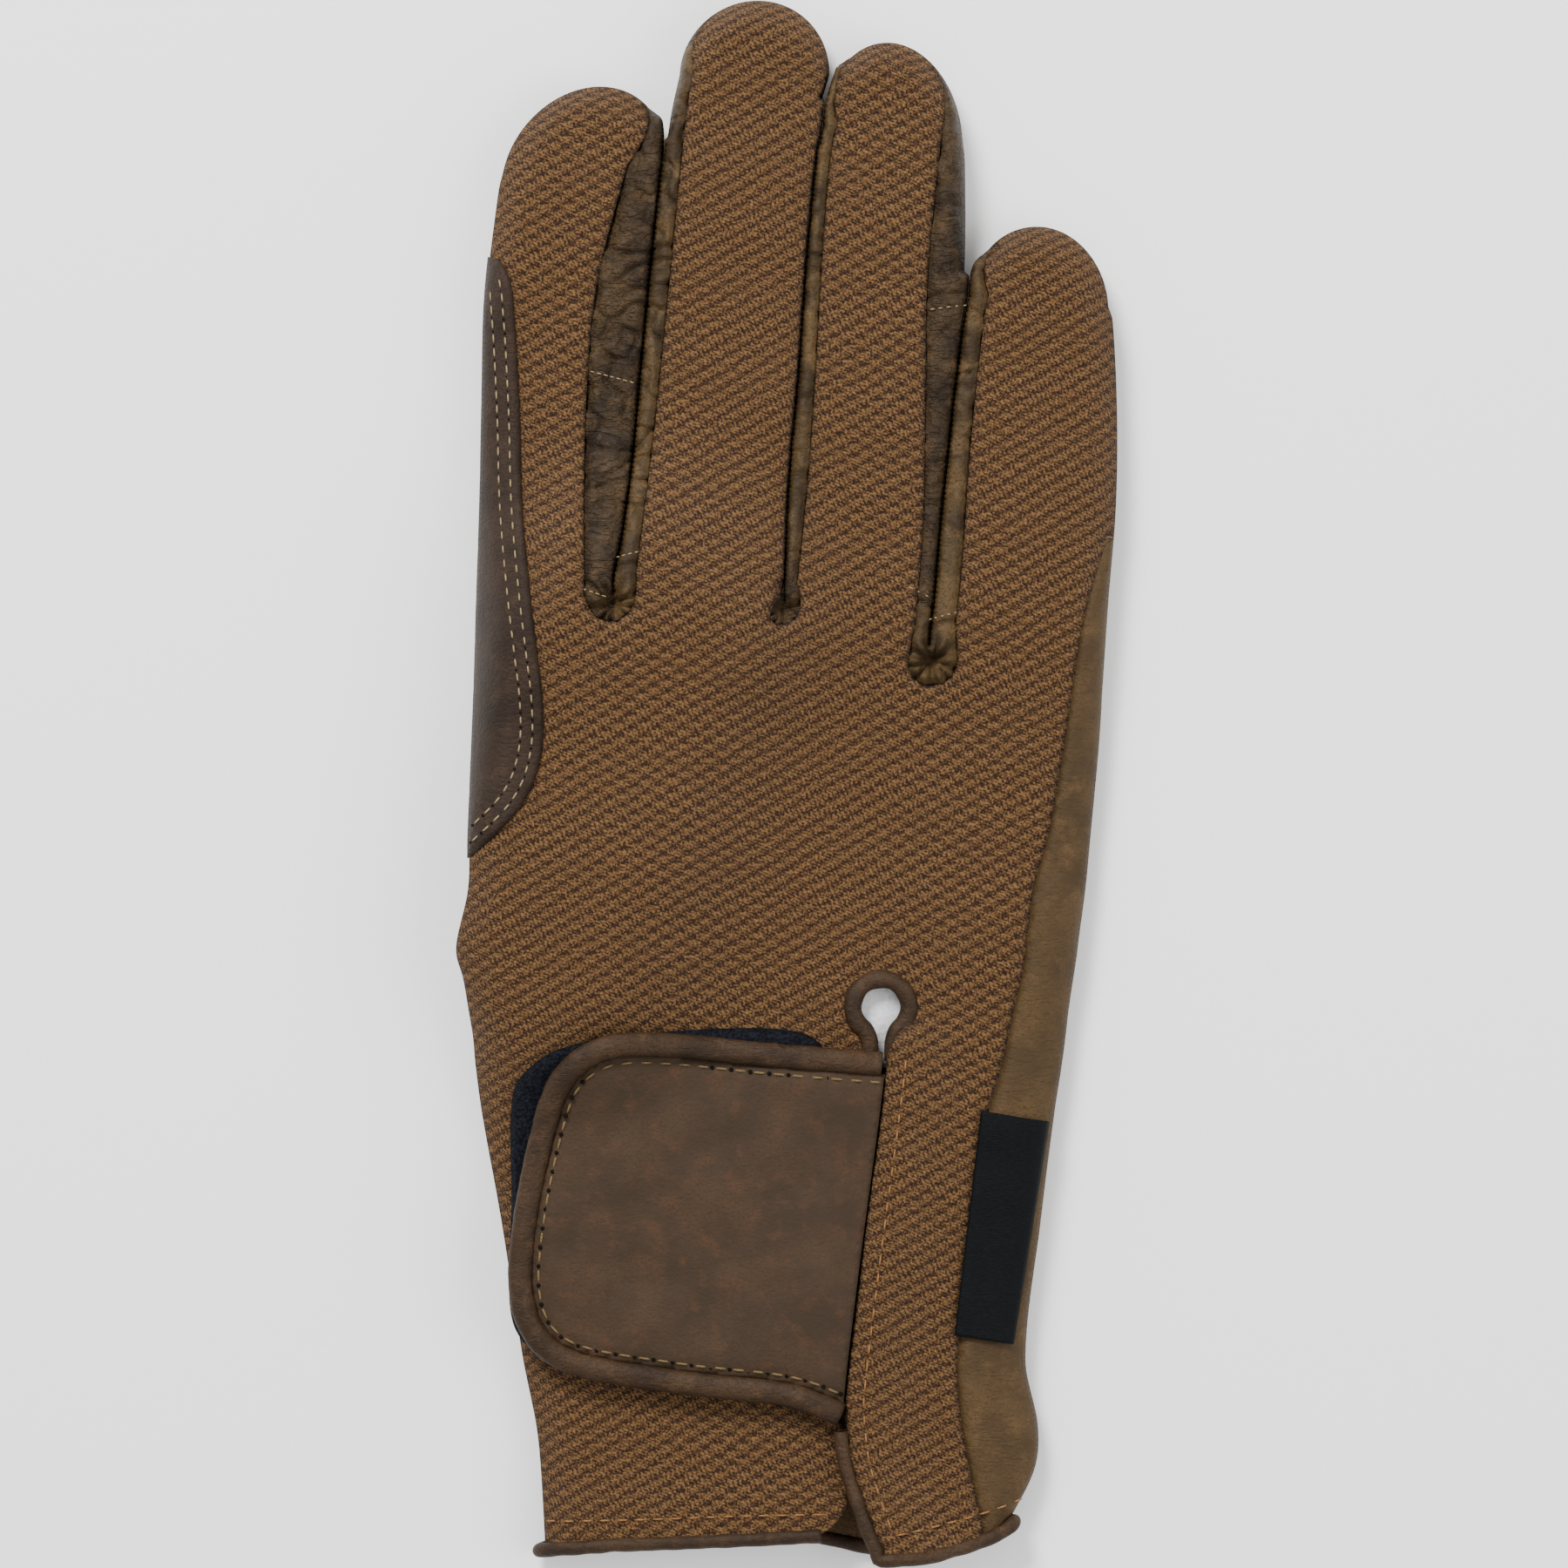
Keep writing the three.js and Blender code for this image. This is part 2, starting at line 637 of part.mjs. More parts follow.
// Leather between fingers k and k + 1, seen from above: down one seam, round the fork and up the other
function gussetOutline(k, grow) {
  const steps = 14;
  const side = (finger, key, sign) => {
    const points = [];
    const rows = fingers[finger].sections;
    const capAt = rows[rows.length - 1].at;
    for (let i = 0; i <= steps; i++) {
      const at = mix(gussetStart, capAt + (1 - capAt) * gussetTip, i / steps);
      const row = outlines[finger](at);
      points.push(new THREE.Vector2(row[key] + sign * grow, row.y(sign > 0 ? -1 : 1)));
    }
    return points;
  };
  const down = side(k, "seamRight", -1).reverse();
  const up = side(k + 1, "seamLeft", 1);
  // Where two fingers touch, the left one's seam gives way to the right one's
  for (const spot of down) {
    const i = clamp(up.findIndex((other) => other.y > spot.y), 1, steps);
    const share = clamp((spot.y - up[i - 1].y) / (up[i].y - up[i - 1].y), 0, 1);
    spot.x = Math.min(spot.x, mix(up[i - 1].x, up[i].x, share) - seamGap);
  }
  const low = down[down.length - 1];
  const next = up[0];
  const bulb = forkBulbs[k];
  const middle = (low.x + next.x) / 2;
  const half = (next.x - low.x) / 2;
  const round = [];
  for (let i = 1; i < 8; i++) {
    const turn = Math.PI * (1 - i / 8);
    const reach = half + Math.sin(turn) * bulb.widen * palmWidth;
    const sink = Math.sin(turn) * (bulb.sink * handLength + grow);
    round.push(new THREE.Vector2(middle + Math.cos(turn) * reach, mix(low.y, next.y, i / 8) - sink));
  }
  const topLeft = down[0];
  const topRight = up[up.length - 1];
  const above = Math.max(topLeft.y, topRight.y) + wall;
  const corners = [topRight, topLeft].map((spot) => new THREE.Vector2(spot.x, above));
  return [...down, ...round, ...up, ...corners];
}
// The part of the back that is palm leather: from the side seam outwards
function sideLeather(grow) {
  const steps = 24;
  const start = -0.1;
  const end = 1.19; // up the little finger, where the seam has run over the side
  const drift = 0.05 * palmWidth;
  const seam = Array.from({ length: steps + 1 }, (none, i) => {
    const at = mix(start, end, i / steps);
    return new THREE.Vector2(palmWidth * handSeam(at) + ramp(at, 1, end) * drift - grow, at * handLength);
  });
  return [...seam, new THREE.Vector2(palmWidth, seam[steps].y), new THREE.Vector2(palmWidth, seam[0].y)];
}

// Points up one side of the slit, moved across by shift
function slitSide(side, shift) {
  const steps = 20;
  return Array.from({ length: steps + 1 }, (none, i) => {
    const at = mix(slitFoot, keyholeAt, i / steps);
    return new THREE.Vector2(palmWidth * side(at) + shift, at * handLength);
  });
}

// Teardrop: a circle that runs out downwards into the slit
const keyholeCentre = new THREE.Vector2(palmWidth * keyholeAcross, keyholeAt * handLength);
const aroundKeyhole = (angle, radius) => {
  const turn = THREE.MathUtils.degToRad(angle);
  return new THREE.Vector2(Math.cos(turn), Math.sin(turn)).multiplyScalar(radius).add(keyholeCentre);
};
function keyholeOutline(radius) {
  const steps = 16;
  const angles = Array.from({ length: steps + 1 }, (none, i) => mix(-50, 230, i / steps));
  const points = angles.map((angle) => aroundKeyhole(angle, radius));
  const tailLength = radius * 1.55;
  const tailHalf = radius * 0.3;
  for (const side of [-1, 1]) {
    points.push(new THREE.Vector2(keyholeCentre.x + side * tailHalf, keyholeCentre.y - tailLength));
  }
  return points;
}

function ellipse(centre, width, length, turned) {
  const steps = 20;
  return Array.from({ length: steps }, (none, i) => {
    const turn = (2 * Math.PI * i) / steps;
    const spot = new THREE.Vector2((width / 2) * Math.cos(turn), (length / 2) * Math.sin(turn));
    return spot.rotateAround(new THREE.Vector2(), -turned).add(centre);
  });
}

// The thumb: a flat tube with two round ends, open upwards at its lower end
function thumbForm(grow) {
  const points = [];
  const faces = [];
  const across = [-1, -0.85, -0.5, 0, 0.5, 0.85, 1];
  const side = new THREE.Vector2(thumbAxis.y, -thumbAxis.x);
  const middleHeight = thumbDepth / 2;
  const end = capAngles.slice(1).map((angle) => THREE.MathUtils.degToRad(angle));
  const rows = [
    ...end.map((turn) => ({ along: -Math.sin(turn), round: Math.cos(turn), from: 0 })).reverse(),
    ...[0, 0.25, 0.5, 0.75, 1].map((from) => ({ along: 0, round: 1, from })),
    ...end.map((turn) => ({ along: Math.sin(turn), round: Math.cos(turn), from: 1 })),
  ];
  const radius = thumbWidth / 2 + grow;
  const grid = rows.map((row, r) => {
    const ends = r === 0 || r === rows.length - 1;
    const taper = mix(1, thumbTaper, row.from);
    const centre = thumbStart
      .clone()
      .addScaledVector(thumbAxis, row.from * thumbLength + row.along * radius * taper);
    return across.map((s, i) => {
      const half = radius * taper * row.round;
      const spot = centre.clone().addScaledVector(side, half * s);
      const rise = roundOff(half * (1 - Math.abs(s)) * thumbFullness) * row.round ** thumbEndFall;
      const joined = ends || i === 0 || i === across.length - 1;
      const z = joined ? 0 : rise * (middleHeight + grow);
      const top = points.push(new THREE.Vector3(spot.x, spot.y, middleHeight + z)) - 1;
      if (joined) return { top, bottom: top };
      return { top, bottom: points.push(new THREE.Vector3(spot.x, spot.y, middleHeight - z)) - 1 };
    });
  });
  const quad = quadsInto(faces);
  for (let r = 0; r + 1 < grid.length; r++)
    for (let i = 0; i + 1 < across.length; i++) {
      const [near, far] = [grid[r], grid[r + 1]];
      quad(near[i].top, near[i + 1].top, far[i + 1].top, far[i].top);
      quad(near[i].bottom, far[i].bottom, far[i + 1].bottom, near[i + 1].bottom);
    }
  return solidFrom(points, faces);
}

// The main body of a cut piece, without the slivers that a seam leaves along an edge
function largest(solid) {
  return solid.decompose().reduce((best, body) => (body.volume() > best.volume() ? body : best));
}

const pieces = new Map();
const shell = handForm(0, 0).subtract(handForm(-wall, wall * 3));
const upper = shell.intersect(aboveSeam(seamGap / 2));
const thumbHole = ellipse(thumbStart, thumbHoleWidth, thumbHoleLength, lean);
const palmOverThumb = thumbDepth + seamGap + 2 * wall;
const lowerHole = prism(thumbHole, -1, palmOverThumb);

let back = upper.subtract(prism(sideLeather(seamGap)));
for (const k of [0, 1, 2]) back = back.subtract(prism(gussetOutline(k, seamGap)));
const slitOutline = [...slitSide(slitRight, 0), ...slitSide(slitLeft, 0).reverse()];
const keyholeCut = prism(keyholeOutline(keyholeRadius + keyholeRoll + seamGap));
back = back.subtract(prism(slitOutline)).subtract(keyholeCut);
pieces.set("back_panel", back);

const knitSide = aboveSeam(-seamGap / 2).subtract(prism(sideLeather(0)));
pieces.set("palm_panel", shell.subtract(knitSide).subtract(lowerHole));

["index_middle", "middle_ring", "ring_little"].forEach((name, k) => {
  pieces.set("gusset_" + name, upper.intersect(prism(gussetOutline(k, 0))));
});

const upperHole = prism(thumbHole, thumbDepth / 2, high);
pieces.set("thumb", thumbForm(0).subtract(thumbForm(-wall)).subtract(upperHole));

// Layers on the back
const layerBox = (corners) => ({
  left: Math.min(...corners.map((c) => c.x)) * palmWidth - 1,
  right: Math.max(...corners.map((c) => c.x)) * palmWidth + 1,
  near: Math.min(...corners.map((c) => c.at)) * handLength - 1,
  far: Math.max(...corners.map((c) => c.at)) * handLength + 1,
});

const backAlone = (x, y) => backHeight(x, y) - flapLift(x, y);
// A flat layer stands clear of the back, and most where the back bends up over the thumb
function layerLow(x, y) {
  const raised = bump(x, y, backSkirt) / (thumbDepth + seamGap);
  return backAlone(x, y) + layerGap * (1 + 4 * raised * (1 - raised));
}
const padTop = (x, y) => layerLow(x, y) + padThick;
const padSlab = slab(layerLow, padTop, layerBox(padCorners), 8, 8);
pieces.set("loop_pad", padSlab.intersect(prism(rounded(padCorners, strapCorner))));

// The strap lies on the pad and comes down to the back where it is sewn under the slit's flap
function strapLow(x, y) {
  const [near, far] = padCorners;
  const padEnd = palmWidth * mix(near.x, far.x, ramp(y / handLength, near.at, far.at));
  const offPad = 1 - ramp(x, padEnd + 1, padEnd + strapFall);
  return layerLow(x, y) + (padThick + 1.5 * seamGap) * offPad;
}
const strapTop = (x, y) => strapLow(x, y) + strapThick;

// A line moved sideways, to its left for a positive distance
function moved(line, distance) {
  return line.map((spot, i) => {
    const along = line[Math.min(i + 1, line.length - 1)].clone().sub(line[Math.max(i - 1, 0)]).normalize();
    return new THREE.Vector2(spot.x - along.y * distance, spot.y + along.x * distance);
  });
}

// The same line with points no further apart than step
function resampled(line, step) {
  const points = [line[0]];
  for (let i = 1; i < line.length; i++) {
    const parts = Math.max(1, Math.ceil(line[i].distanceTo(line[i - 1]) / step));
    for (let j = 1; j <= parts; j++) points.push(line[i - 1].clone().lerp(line[i], j / parts));
  }
  return points;
}

const strapLoop = rounded(strapCorners, strapCorner);
const strapEdge = resampled([...strapLoop.slice(1), strapLoop[0]], strapRollWidth);
const strapRollLine = moved(strapEdge, strapRollWidth / 2);
const strapFace = moved(strapEdge, strapRollWidth + seamGap);
const strapSlab = slab(strapLow, strapTop, layerBox(strapCorners), 10, 8);
const flapEdge = slitSide(slitRight, -seamGap);
const leftOfFlap = prism([
  ...flapEdge,
  new THREE.Vector2(-palmWidth, flapEdge[flapEdge.length - 1].y),
  new THREE.Vector2(-palmWidth, flapEdge[0].y),
]);
pieces.set("closure_strap", strapSlab.intersect(prism(strapFace)).intersect(leftOfFlap));
const strapRollPath = strapRollLine.map((spot) => {
  const bed = [-1, 0, 1].map((side) => strapLow(spot.x, spot.y + (side * strapRollWidth) / 2));
  return new THREE.Vector3(spot.x, spot.y, Math.max(...bed) + strapRollDepth / 2);
});
const strapRoll = flatRoll(strapRollPath, strapRollWidth, strapRollDepth, 40);
pieces.set("strap_binding", strapRoll.intersect(leftOfFlap));

// Binding of the keyhole, open towards the slit
const keyholeLine = [-58, -30, 0, 30, 60, 90, 120, 150, 180, 210, 238].map((angle) => {
  return aroundKeyhole(angle, keyholeRadius);
});
const tailY = strapCorners[1].at * handLength + seamGap * 2;
const tailGap = 1.25 * keyholeRoll;
keyholeLine.unshift(new THREE.Vector2(keyholeCentre.x + tailGap, tailY));
keyholeLine.push(new THREE.Vector2(keyholeCentre.x - tailGap, tailY));
const keyholePath = keyholeLine.map(
  (spot) => new THREE.Vector3(spot.x, spot.y, backHeight(spot.x, spot.y) - wall / 2),
);
pieces.set("keyhole_binding", flatRoll(keyholePath, keyholeRoll * 2, keyholeRoll * 2, 26));

// One binding round the whole hem: from the slit's left part round the palm to the flap and up its edge
const hemPath = [];
const besideHem = seamGap + rollRadius;
const leftSteps = [0.06, 0.045]; // down the slit's left edge
const flapSteps = [0.035, 0.06, 0.09, 0.115, 0.135]; // up the flap's edge to just below the strap
const leftCorner = handPoint(slitColumn - 1, 0);
for (const at of leftSteps) {
  const x = palmWidth * slitLeft(at) + besideHem;
  hemPath.push(new THREE.Vector3(x, at * handLength, backAlone(x, at * handLength) - wall / 2));
}
const cornerOut = 0.9 * besideHem;
const cornerDown = 0.6 * besideHem;
const leftEnd = { x: leftCorner.x + cornerOut, y: leftCorner.y - cornerDown };
hemPath.push(new THREE.Vector3(leftEnd.x, leftEnd.y, leftCorner.top - wall / 2));
const hemSpot = (g, upperSide) => {
  const p = handPoint(g, 0);
  const inward = g === 0 ? wall / 2 : g === columns ? -wall / 2 : 0;
  const z = inward ? p.side : upperSide ? p.top - wall / 2 : p.bottom + wall / 2;
  hemPath.push(new THREE.Vector3(p.x + inward, p.y - besideHem, z));
};
for (let g = slitColumn - 2; g >= 0; g--) hemSpot(g, true);
for (let g = 1; g <= columns; g++) hemSpot(g, false);
for (let g = columns - 1; g > slitColumn + 1; g--) hemSpot(g, true);
const flapCorner = handPoint(slitColumn + 1, 0);
const flapOut = 0.7 * besideHem;
hemPath.push(new THREE.Vector3(flapCorner.x - flapOut, flapCorner.y - flapOut, flapCorner.top - wall / 2));
for (const at of flapSteps) {
  const x = palmWidth * slitRight(at) - besideHem;
  const y = at * handLength;
  hemPath.push(new THREE.Vector3(x, y, backHeight(x + 1.2 * besideHem, y) - wall / 2));
}
pieces.set("hem_binding", roundRoll(hemPath, rollRadius, 84));

// Reinforcement patch on the index side, round to the side seam
const patchLine = patchEdge.map((p) => new THREE.Vector2(p.x * palmWidth, p.at * handLength));
const patchOutline = [
  new THREE.Vector2(-palmWidth, patchLine[0].y),
  new THREE.Vector2(-palmWidth, patchLine[patchLine.length - 1].y),
  ...patchLine.reverse(),
];
const patchLayer = handForm(seamGap + patchThick, 0).subtract(handForm(seamGap, 0));
pieces.set("index_patch", patchLayer.intersect(aboveSeam(seamGap / 2)).intersect(prism(patchOutline)));

// Woven label over the side seam, left blank
function labelLow(x, y) {
  const at = y / handLength;
  const inside = Math.min(x - palmWidth * handLeft(at), palmWidth * handRight(at) - x);
  const { top } = topAndBottom(x, y, Math.max(0, inside), 1);
  return mix(top, backHeight(x, y), 0.5) + seamGap;
}
const labelSlab = slab(labelLow, (x, y) => labelLow(x, y) + labelThick, layerBox(labelCorners), 6, 6);
pieces.set("woven_label", labelSlab.intersect(prism(rounded(labelCorners, 1))));

// Finishes
const finishes = {
  knit: { color: 0x7d5736, roughness: 0.95, metalness: 0 },
  palmLeather: { color: 0x6b563c, roughness: 0.7, metalness: 0 },
  darkLeather: { color: 0x45362c, roughness: 0.6, metalness: 0 },
  strapLeather: { color: 0x5a4535, roughness: 0.65, metalness: 0 },
  loop: { color: 0x0d0e14, roughness: 1, metalness: 0 },
  label: { color: 0x0e1214, roughness: 0.9, metalness: 0 },
};
const finishOf = {
  back_panel: "knit",
  palm_panel: "palmLeather",
  gusset_index_middle: "palmLeather",
  gusset_middle_ring: "palmLeather",
  gusset_ring_little: "palmLeather",
  thumb: "palmLeather",
  index_patch: "darkLeather",
  closure_strap: "strapLeather",
  strap_binding: "darkLeather",
  keyhole_binding: "darkLeather",
  hem_binding: "darkLeather",
  loop_pad: "loop",
  woven_label: "label",
};

// Seams closer than this to a straight line are drawn straight
const seamTolerance = 0.02;
const assembly = new THREE.Group();
for (const [name, piece] of pieces) {
  const mesh = largest(piece.simplify(seamTolerance)).getMesh();
  const geometry = new THREE.BufferGeometry();
  geometry.setAttribute("position", new THREE.BufferAttribute(mesh.vertProperties.slice(), 3));
  geometry.setIndex(new THREE.BufferAttribute(mesh.triVerts.slice(), 1));
  const node = new THREE.Mesh(geometry, new THREE.MeshStandardMaterial(finishes[finishOf[name]]));
  node.name = name;
  assembly.add(node);
}

// Set down with the origin below the middle of its outer box
const outer = new THREE.Box3().setFromObject(assembly, true);
const middle = outer.getCenter(new THREE.Vector3());
assembly.position.set(-middle.x, -middle.y, -outer.min.z);
export default assembly;
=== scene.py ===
# A right-hand riding glove lies on its palm, back up, fingers towards +Y, little finger at +X.
# Sizes are in millimetres until a mesh is made.
import math
from functools import partial

import bpy
import numpy as np
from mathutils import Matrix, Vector, geometry


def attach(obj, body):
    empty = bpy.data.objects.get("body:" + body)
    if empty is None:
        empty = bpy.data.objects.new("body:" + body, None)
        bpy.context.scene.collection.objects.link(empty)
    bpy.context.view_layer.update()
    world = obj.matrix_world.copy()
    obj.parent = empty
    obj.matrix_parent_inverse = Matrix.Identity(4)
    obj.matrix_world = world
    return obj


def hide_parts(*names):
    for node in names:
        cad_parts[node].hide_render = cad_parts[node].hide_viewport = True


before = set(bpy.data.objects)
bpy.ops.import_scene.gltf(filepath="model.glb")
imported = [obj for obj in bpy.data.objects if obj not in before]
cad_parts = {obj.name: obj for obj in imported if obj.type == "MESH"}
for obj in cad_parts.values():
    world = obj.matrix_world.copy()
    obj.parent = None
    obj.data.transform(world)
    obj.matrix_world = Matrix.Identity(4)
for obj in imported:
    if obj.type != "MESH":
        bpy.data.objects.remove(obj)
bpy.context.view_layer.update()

# Sizes of the hand's form
palmWidth = 96.5
handLength = 144.5
hemY = -119.35
handDepth = 9.3
fingerDepth = 11.0
sideShare = 0.44
crown = 0.9
thumb = {"x": -38.5, "y": -21.1, "length": 46.0, "radius": 11.0, "lift": 8.1, "lean": 19.0}
palmSkirt = 11.0
backSkirt = 24.0
slitLift = 2.6
liftReach = 15.0
keyhole = {
    "x": 14.4,
    "y": -34.4,
    "radius": 4.35,
    "roll": 1.4,
    "rollHigh": 1.15,
    "tails": (-1.75, 1.95),
    "lining": 9.5,
}
# How deep and how wide each seam draws the surface in
seamPull = {"knit": 0.7, "leather": 0.85, "width": 0.75, "side": 0.75, "sideWidth": 0.8}
flapFold = {"depth": 1.4, "round": 1.5, "stitchesAt": 3.0, "stitchPull": 0.3, "stitchWidth": 0.6}
wavesAll = {"broad": (0.35, 46, 3), "small": (0.12, 17, 5)}  # height, size and seed

# Shares of palmWidth across, shares of handLength up from the hem
handColumns = ("left", "right", "seam")
handRows = [
    (-0.02, -0.386, 0.33, 0.318),
    (0.026, -0.389, 0.345, 0.312),
    (0.093, -0.395, 0.394, 0.291),
    (0.139, -0.402, 0.4, 0.278),
    (0.213, -0.424, 0.38, 0.27),
    (0.362, -0.459, 0.405, 0.295),
    (0.473, -0.489, 0.426, 0.319),
    (0.525, -0.4995, 0.438, 0.341),
    (0.555, -0.5035, 0.444, 0.351),
    (0.584, -0.5095, 0.449, 0.36),
    (0.62, -0.5175, 0.457, 0.373),
    (0.642, -0.527, 0.462, 0.378),
    (0.659, -0.5265, 0.465, 0.381),
    (0.714, -0.5085, 0.476, 0.392),
    (0.77, -0.5065, 0.484, 0.415),
    (0.881, -0.5015, 0.499, 0.444),
    (1.0, -0.496, 0.508, 0.472),
    (1.1, -0.493, 0.52, 0.515),
]
slitColumns = ("left", "right")
slitRows = [
    (-0.04, 0.058, 0.18),
    (0.0, 0.058, 0.157),
    (0.023, 0.058, 0.14),
    (0.056, 0.058, 0.121),
    (0.103, 0.062, 0.099),
    (0.146, 0.066, 0.091),
    (0.174, 0.079, 0.09),
    (0.3, 0.105, 0.112),
    (0.54, 0.15, 0.158),
    (0.6, 0.15, 0.158),
]
forkX = [-0.4955, -0.277, -0.006, 0.226, 0.502]
forkAt = [1.011, 1.029, 1.02, 0.974, 0.918]
# reach is the width of the roll at the finger's left and right sides
fingerColumns = ("left", "seamLeft", "seamRight", "right")
fingers = [
    {
        "length": 79.4,
        "tip": -0.3,
        "reach": (6.0, 3.6),
        "rows": [
            (0.0, -0.4955, -0.4955, -0.322, -0.281),
            (0.2, -0.49, -0.49, -0.324, -0.257),
            (0.4, -0.4865, -0.4865, -0.32, -0.24),
            (0.6, -0.482, -0.482, -0.305, -0.223),
            (0.8, -0.4625, -0.4625, -0.265, -0.207),
            (0.84, -0.4545, -0.4545, -0.255, -0.203),
        ],
    },
    {
        "length": 92.0,
        "tip": -0.048,
        "reach": (2.4, 1.8),
        "rows": [
            (0.0, -0.271, -0.243, -0.011, -0.011),
            (0.2, -0.245, -0.22, -0.004, -0.004),
            (0.4, -0.23, -0.2, 0.013, 0.013),
            (0.6, -0.212, -0.181, 0.026, 0.026),
            (0.8, -0.188, -0.162, 0.046, 0.046),
            (0.875, -0.173, -0.151, 0.066, 0.066),
        ],
    },
    {
        "length": 89.5,
        "tip": 0.159,
        "reach": (2.2, 3.2),
        "rows": [
            (0.0, -0.001, 0.012, 0.2, 0.222),
            (0.2, 0.006, 0.031, 0.215, 0.237),
            (0.4, 0.022, 0.044, 0.219, 0.261),
            (0.6, 0.035, 0.054, 0.222, 0.281),
            (0.8, 0.054, 0.069, 0.24, 0.283),
            (0.85, 0.066, 0.079, 0.246, 0.278),
        ],
    },
    {
        "length": 68.5,
        "tip": 0.398,
        "reach": (2.2, 6.0),
        "rows": [
            (0.0, 0.232, 0.264, 0.502, 0.502),
            (0.2, 0.245, 0.278, 0.512, 0.512),
            (0.4, 0.257, 0.287, 0.524, 0.524),
            (0.6, 0.269, 0.299, 0.526, 0.526),
            (0.8, 0.289, 0.315, 0.519, 0.519),
            (0.83, 0.296, 0.32, 0.512, 0.512),
        ],
    },
]
gussetNames = ("gusset_index_middle", "gusset_middle_ring", "gusset_ring_little")
quirks = [
    {"sink": 7.2, "widen": 0.5, "shift": 0.0},
    {"sink": 6.6, "widen": 3.0, "shift": -1.3},
    {"sink": 9.0, "widen": 2.4, "shift": -0.7},
]


def ramp(value, low, high):
    t = np.clip((value - low) / (high - low), 0, 1)
    return t * t * (3 - 2 * t)


def mix(a, b, t):
    return a + (b - a) * t


def bell(value, width):
    return np.exp(-((value / width) ** 2))


def stacked(*parts):
    return np.column_stack(parts)


def track(rows, columns):
    # Smooth curves through a table's columns
    at = np.array([row[0] for row in rows])
    first = np.maximum(np.arange(len(at)) - 1, 0)
    last = np.minimum(np.arange(len(at)) + 1, len(at) - 1)
    curves = {}
    for i, name in enumerate(columns):
        value = np.array([row[i + 1] for row in rows])
        slope = (value[last] - value[first]) / (at[last] - at[first])

        def curve(x, value=value, slope=slope):
            x = np.clip(np.asarray(x, float), at[0], at[-1])
            i = np.clip(np.searchsorted(at, x, side="right"), 1, len(at) - 1)
            span = at[i] - at[i - 1]
            t = (x - at[i - 1]) / span
            a, b = slope[i - 1] * span, slope[i] * span
            step = value[i] - value[i - 1]
            bend = 3 * step - 2 * a - b
            return value[i - 1] + t * (a + t * (bend + t * (a + b - 2 * step)))

        curves[name] = curve
    return curves


handCurve = track(handRows, handColumns)
slitCurve = track(slitRows, slitColumns)
fingerCurves = [track(finger["rows"], fingerColumns) for finger in fingers]


def share(y):
    return (y - hemY) / handLength


def spline(points, step):
    # Centripetal curve through a few points, as points about step apart
    points = np.array(points, float)
    ends = [2 * points[0] - points[1], 2 * points[-1] - points[-2]]
    full = np.vstack([ends[0], points, ends[1]])
    out = []
    for i in range(1, len(full) - 2):
        p = full[i - 1 : i + 3]
        gaps = [max(np.linalg.norm(p[j + 1] - p[j]), 1e-6) ** 0.5 for j in range(3)]
        knots = np.cumsum([0.0] + gaps)
        count = max(2, int(np.linalg.norm(p[2] - p[1]) / step))
        t = np.linspace(knots[1], knots[2], count, endpoint=False)[:, None]

        def between(j, width, near, far):
            span = knots[j + width] - knots[j]
            return (knots[j + width] - t) / span * near + (t - knots[j]) / span * far

        a = [between(j, 1, p[j], p[j + 1]) for j in range(3)]
        b = [between(j, 2, a[j], a[j + 1]) for j in range(2)]
        out.append(between(1, 1, b[0], b[1]))
    return np.vstack(out + [points[-1:]])


def resample(line, step):
    line = np.asarray(line, float)
    gaps = np.linalg.norm(np.diff(line, axis=0), axis=1)
    run = np.concatenate([[0], np.cumsum(gaps)])
    count = max(2, int(round(run[-1] / step)) + 1)
    at = np.linspace(0, run[-1], count)
    return np.column_stack([np.interp(at, run, line[:, i]) for i in range(line.shape[1])])


def beside(line, distance):
    # The same line moved to its left
    along = np.gradient(line[:, :2], axis=0)
    along /= np.linalg.norm(along, axis=1)[:, None] + 1e-9
    moved = line.copy()
    moved[:, 0] -= along[:, 1] * distance
    moved[:, 1] += along[:, 0] * distance
    return moved


# Sides of the fingers
def rootHeight(k, side):
    return hemY + handLength * forkAt[k + (side > 0)]


def tipHeight(k):
    return hemY + handLength * (forkAt[k] + forkAt[k + 1]) / 2 + fingers[k]["length"]


def fingerSide(k, side, y, column=None):
    finger, curve, rootY = fingers[k], fingerCurves[k], rootHeight(k, side)
    cap = finger["rows"][-1][0]
    at = (np.asarray(y, float) - rootY) / (tipHeight(k) - rootY)
    body = np.clip(at, 0, cap)
    t = np.clip((at - cap) / (1 - cap), 0, 1)
    left, right = curve["left"](body), curve["right"](body)
    middle = mix((left + right) / 2, finger["tip"], t)
    half = (right - left) / 2 * np.sqrt(np.maximum(0, 1 - t * t))
    place = float(side)
    if column:
        inner = (curve[column](body) - (left + right) / 2) / ((right - left) / 2)
        place = mix(inner, side, np.clip(t / 0.8, 0, 1))
    return palmWidth * (middle + half * place) + 0.1


def capHeight(k, side):
    return mix(rootHeight(k, side), tipHeight(k), fingers[k]["rows"][-1][0])


def closeness(k, side, y):
    # 1 wherever this finger lies against its neighbour, less than a few millimetres apart
    other = k + side
    if other < 0 or other > 3:
        return 0.0 * y, 0.0 * y
    gap = (fingerSide(other, -side, y) - fingerSide(k, side, y)) * side
    return gap, (1 - ramp(gap, 1.8, 3.6)) * (y < capHeight(other, -side) + 4)


def drawTogether(k, side, y, x):
    gap, near = closeness(k, side, y)
    return x + side * (gap / 2 - 0.07) * near


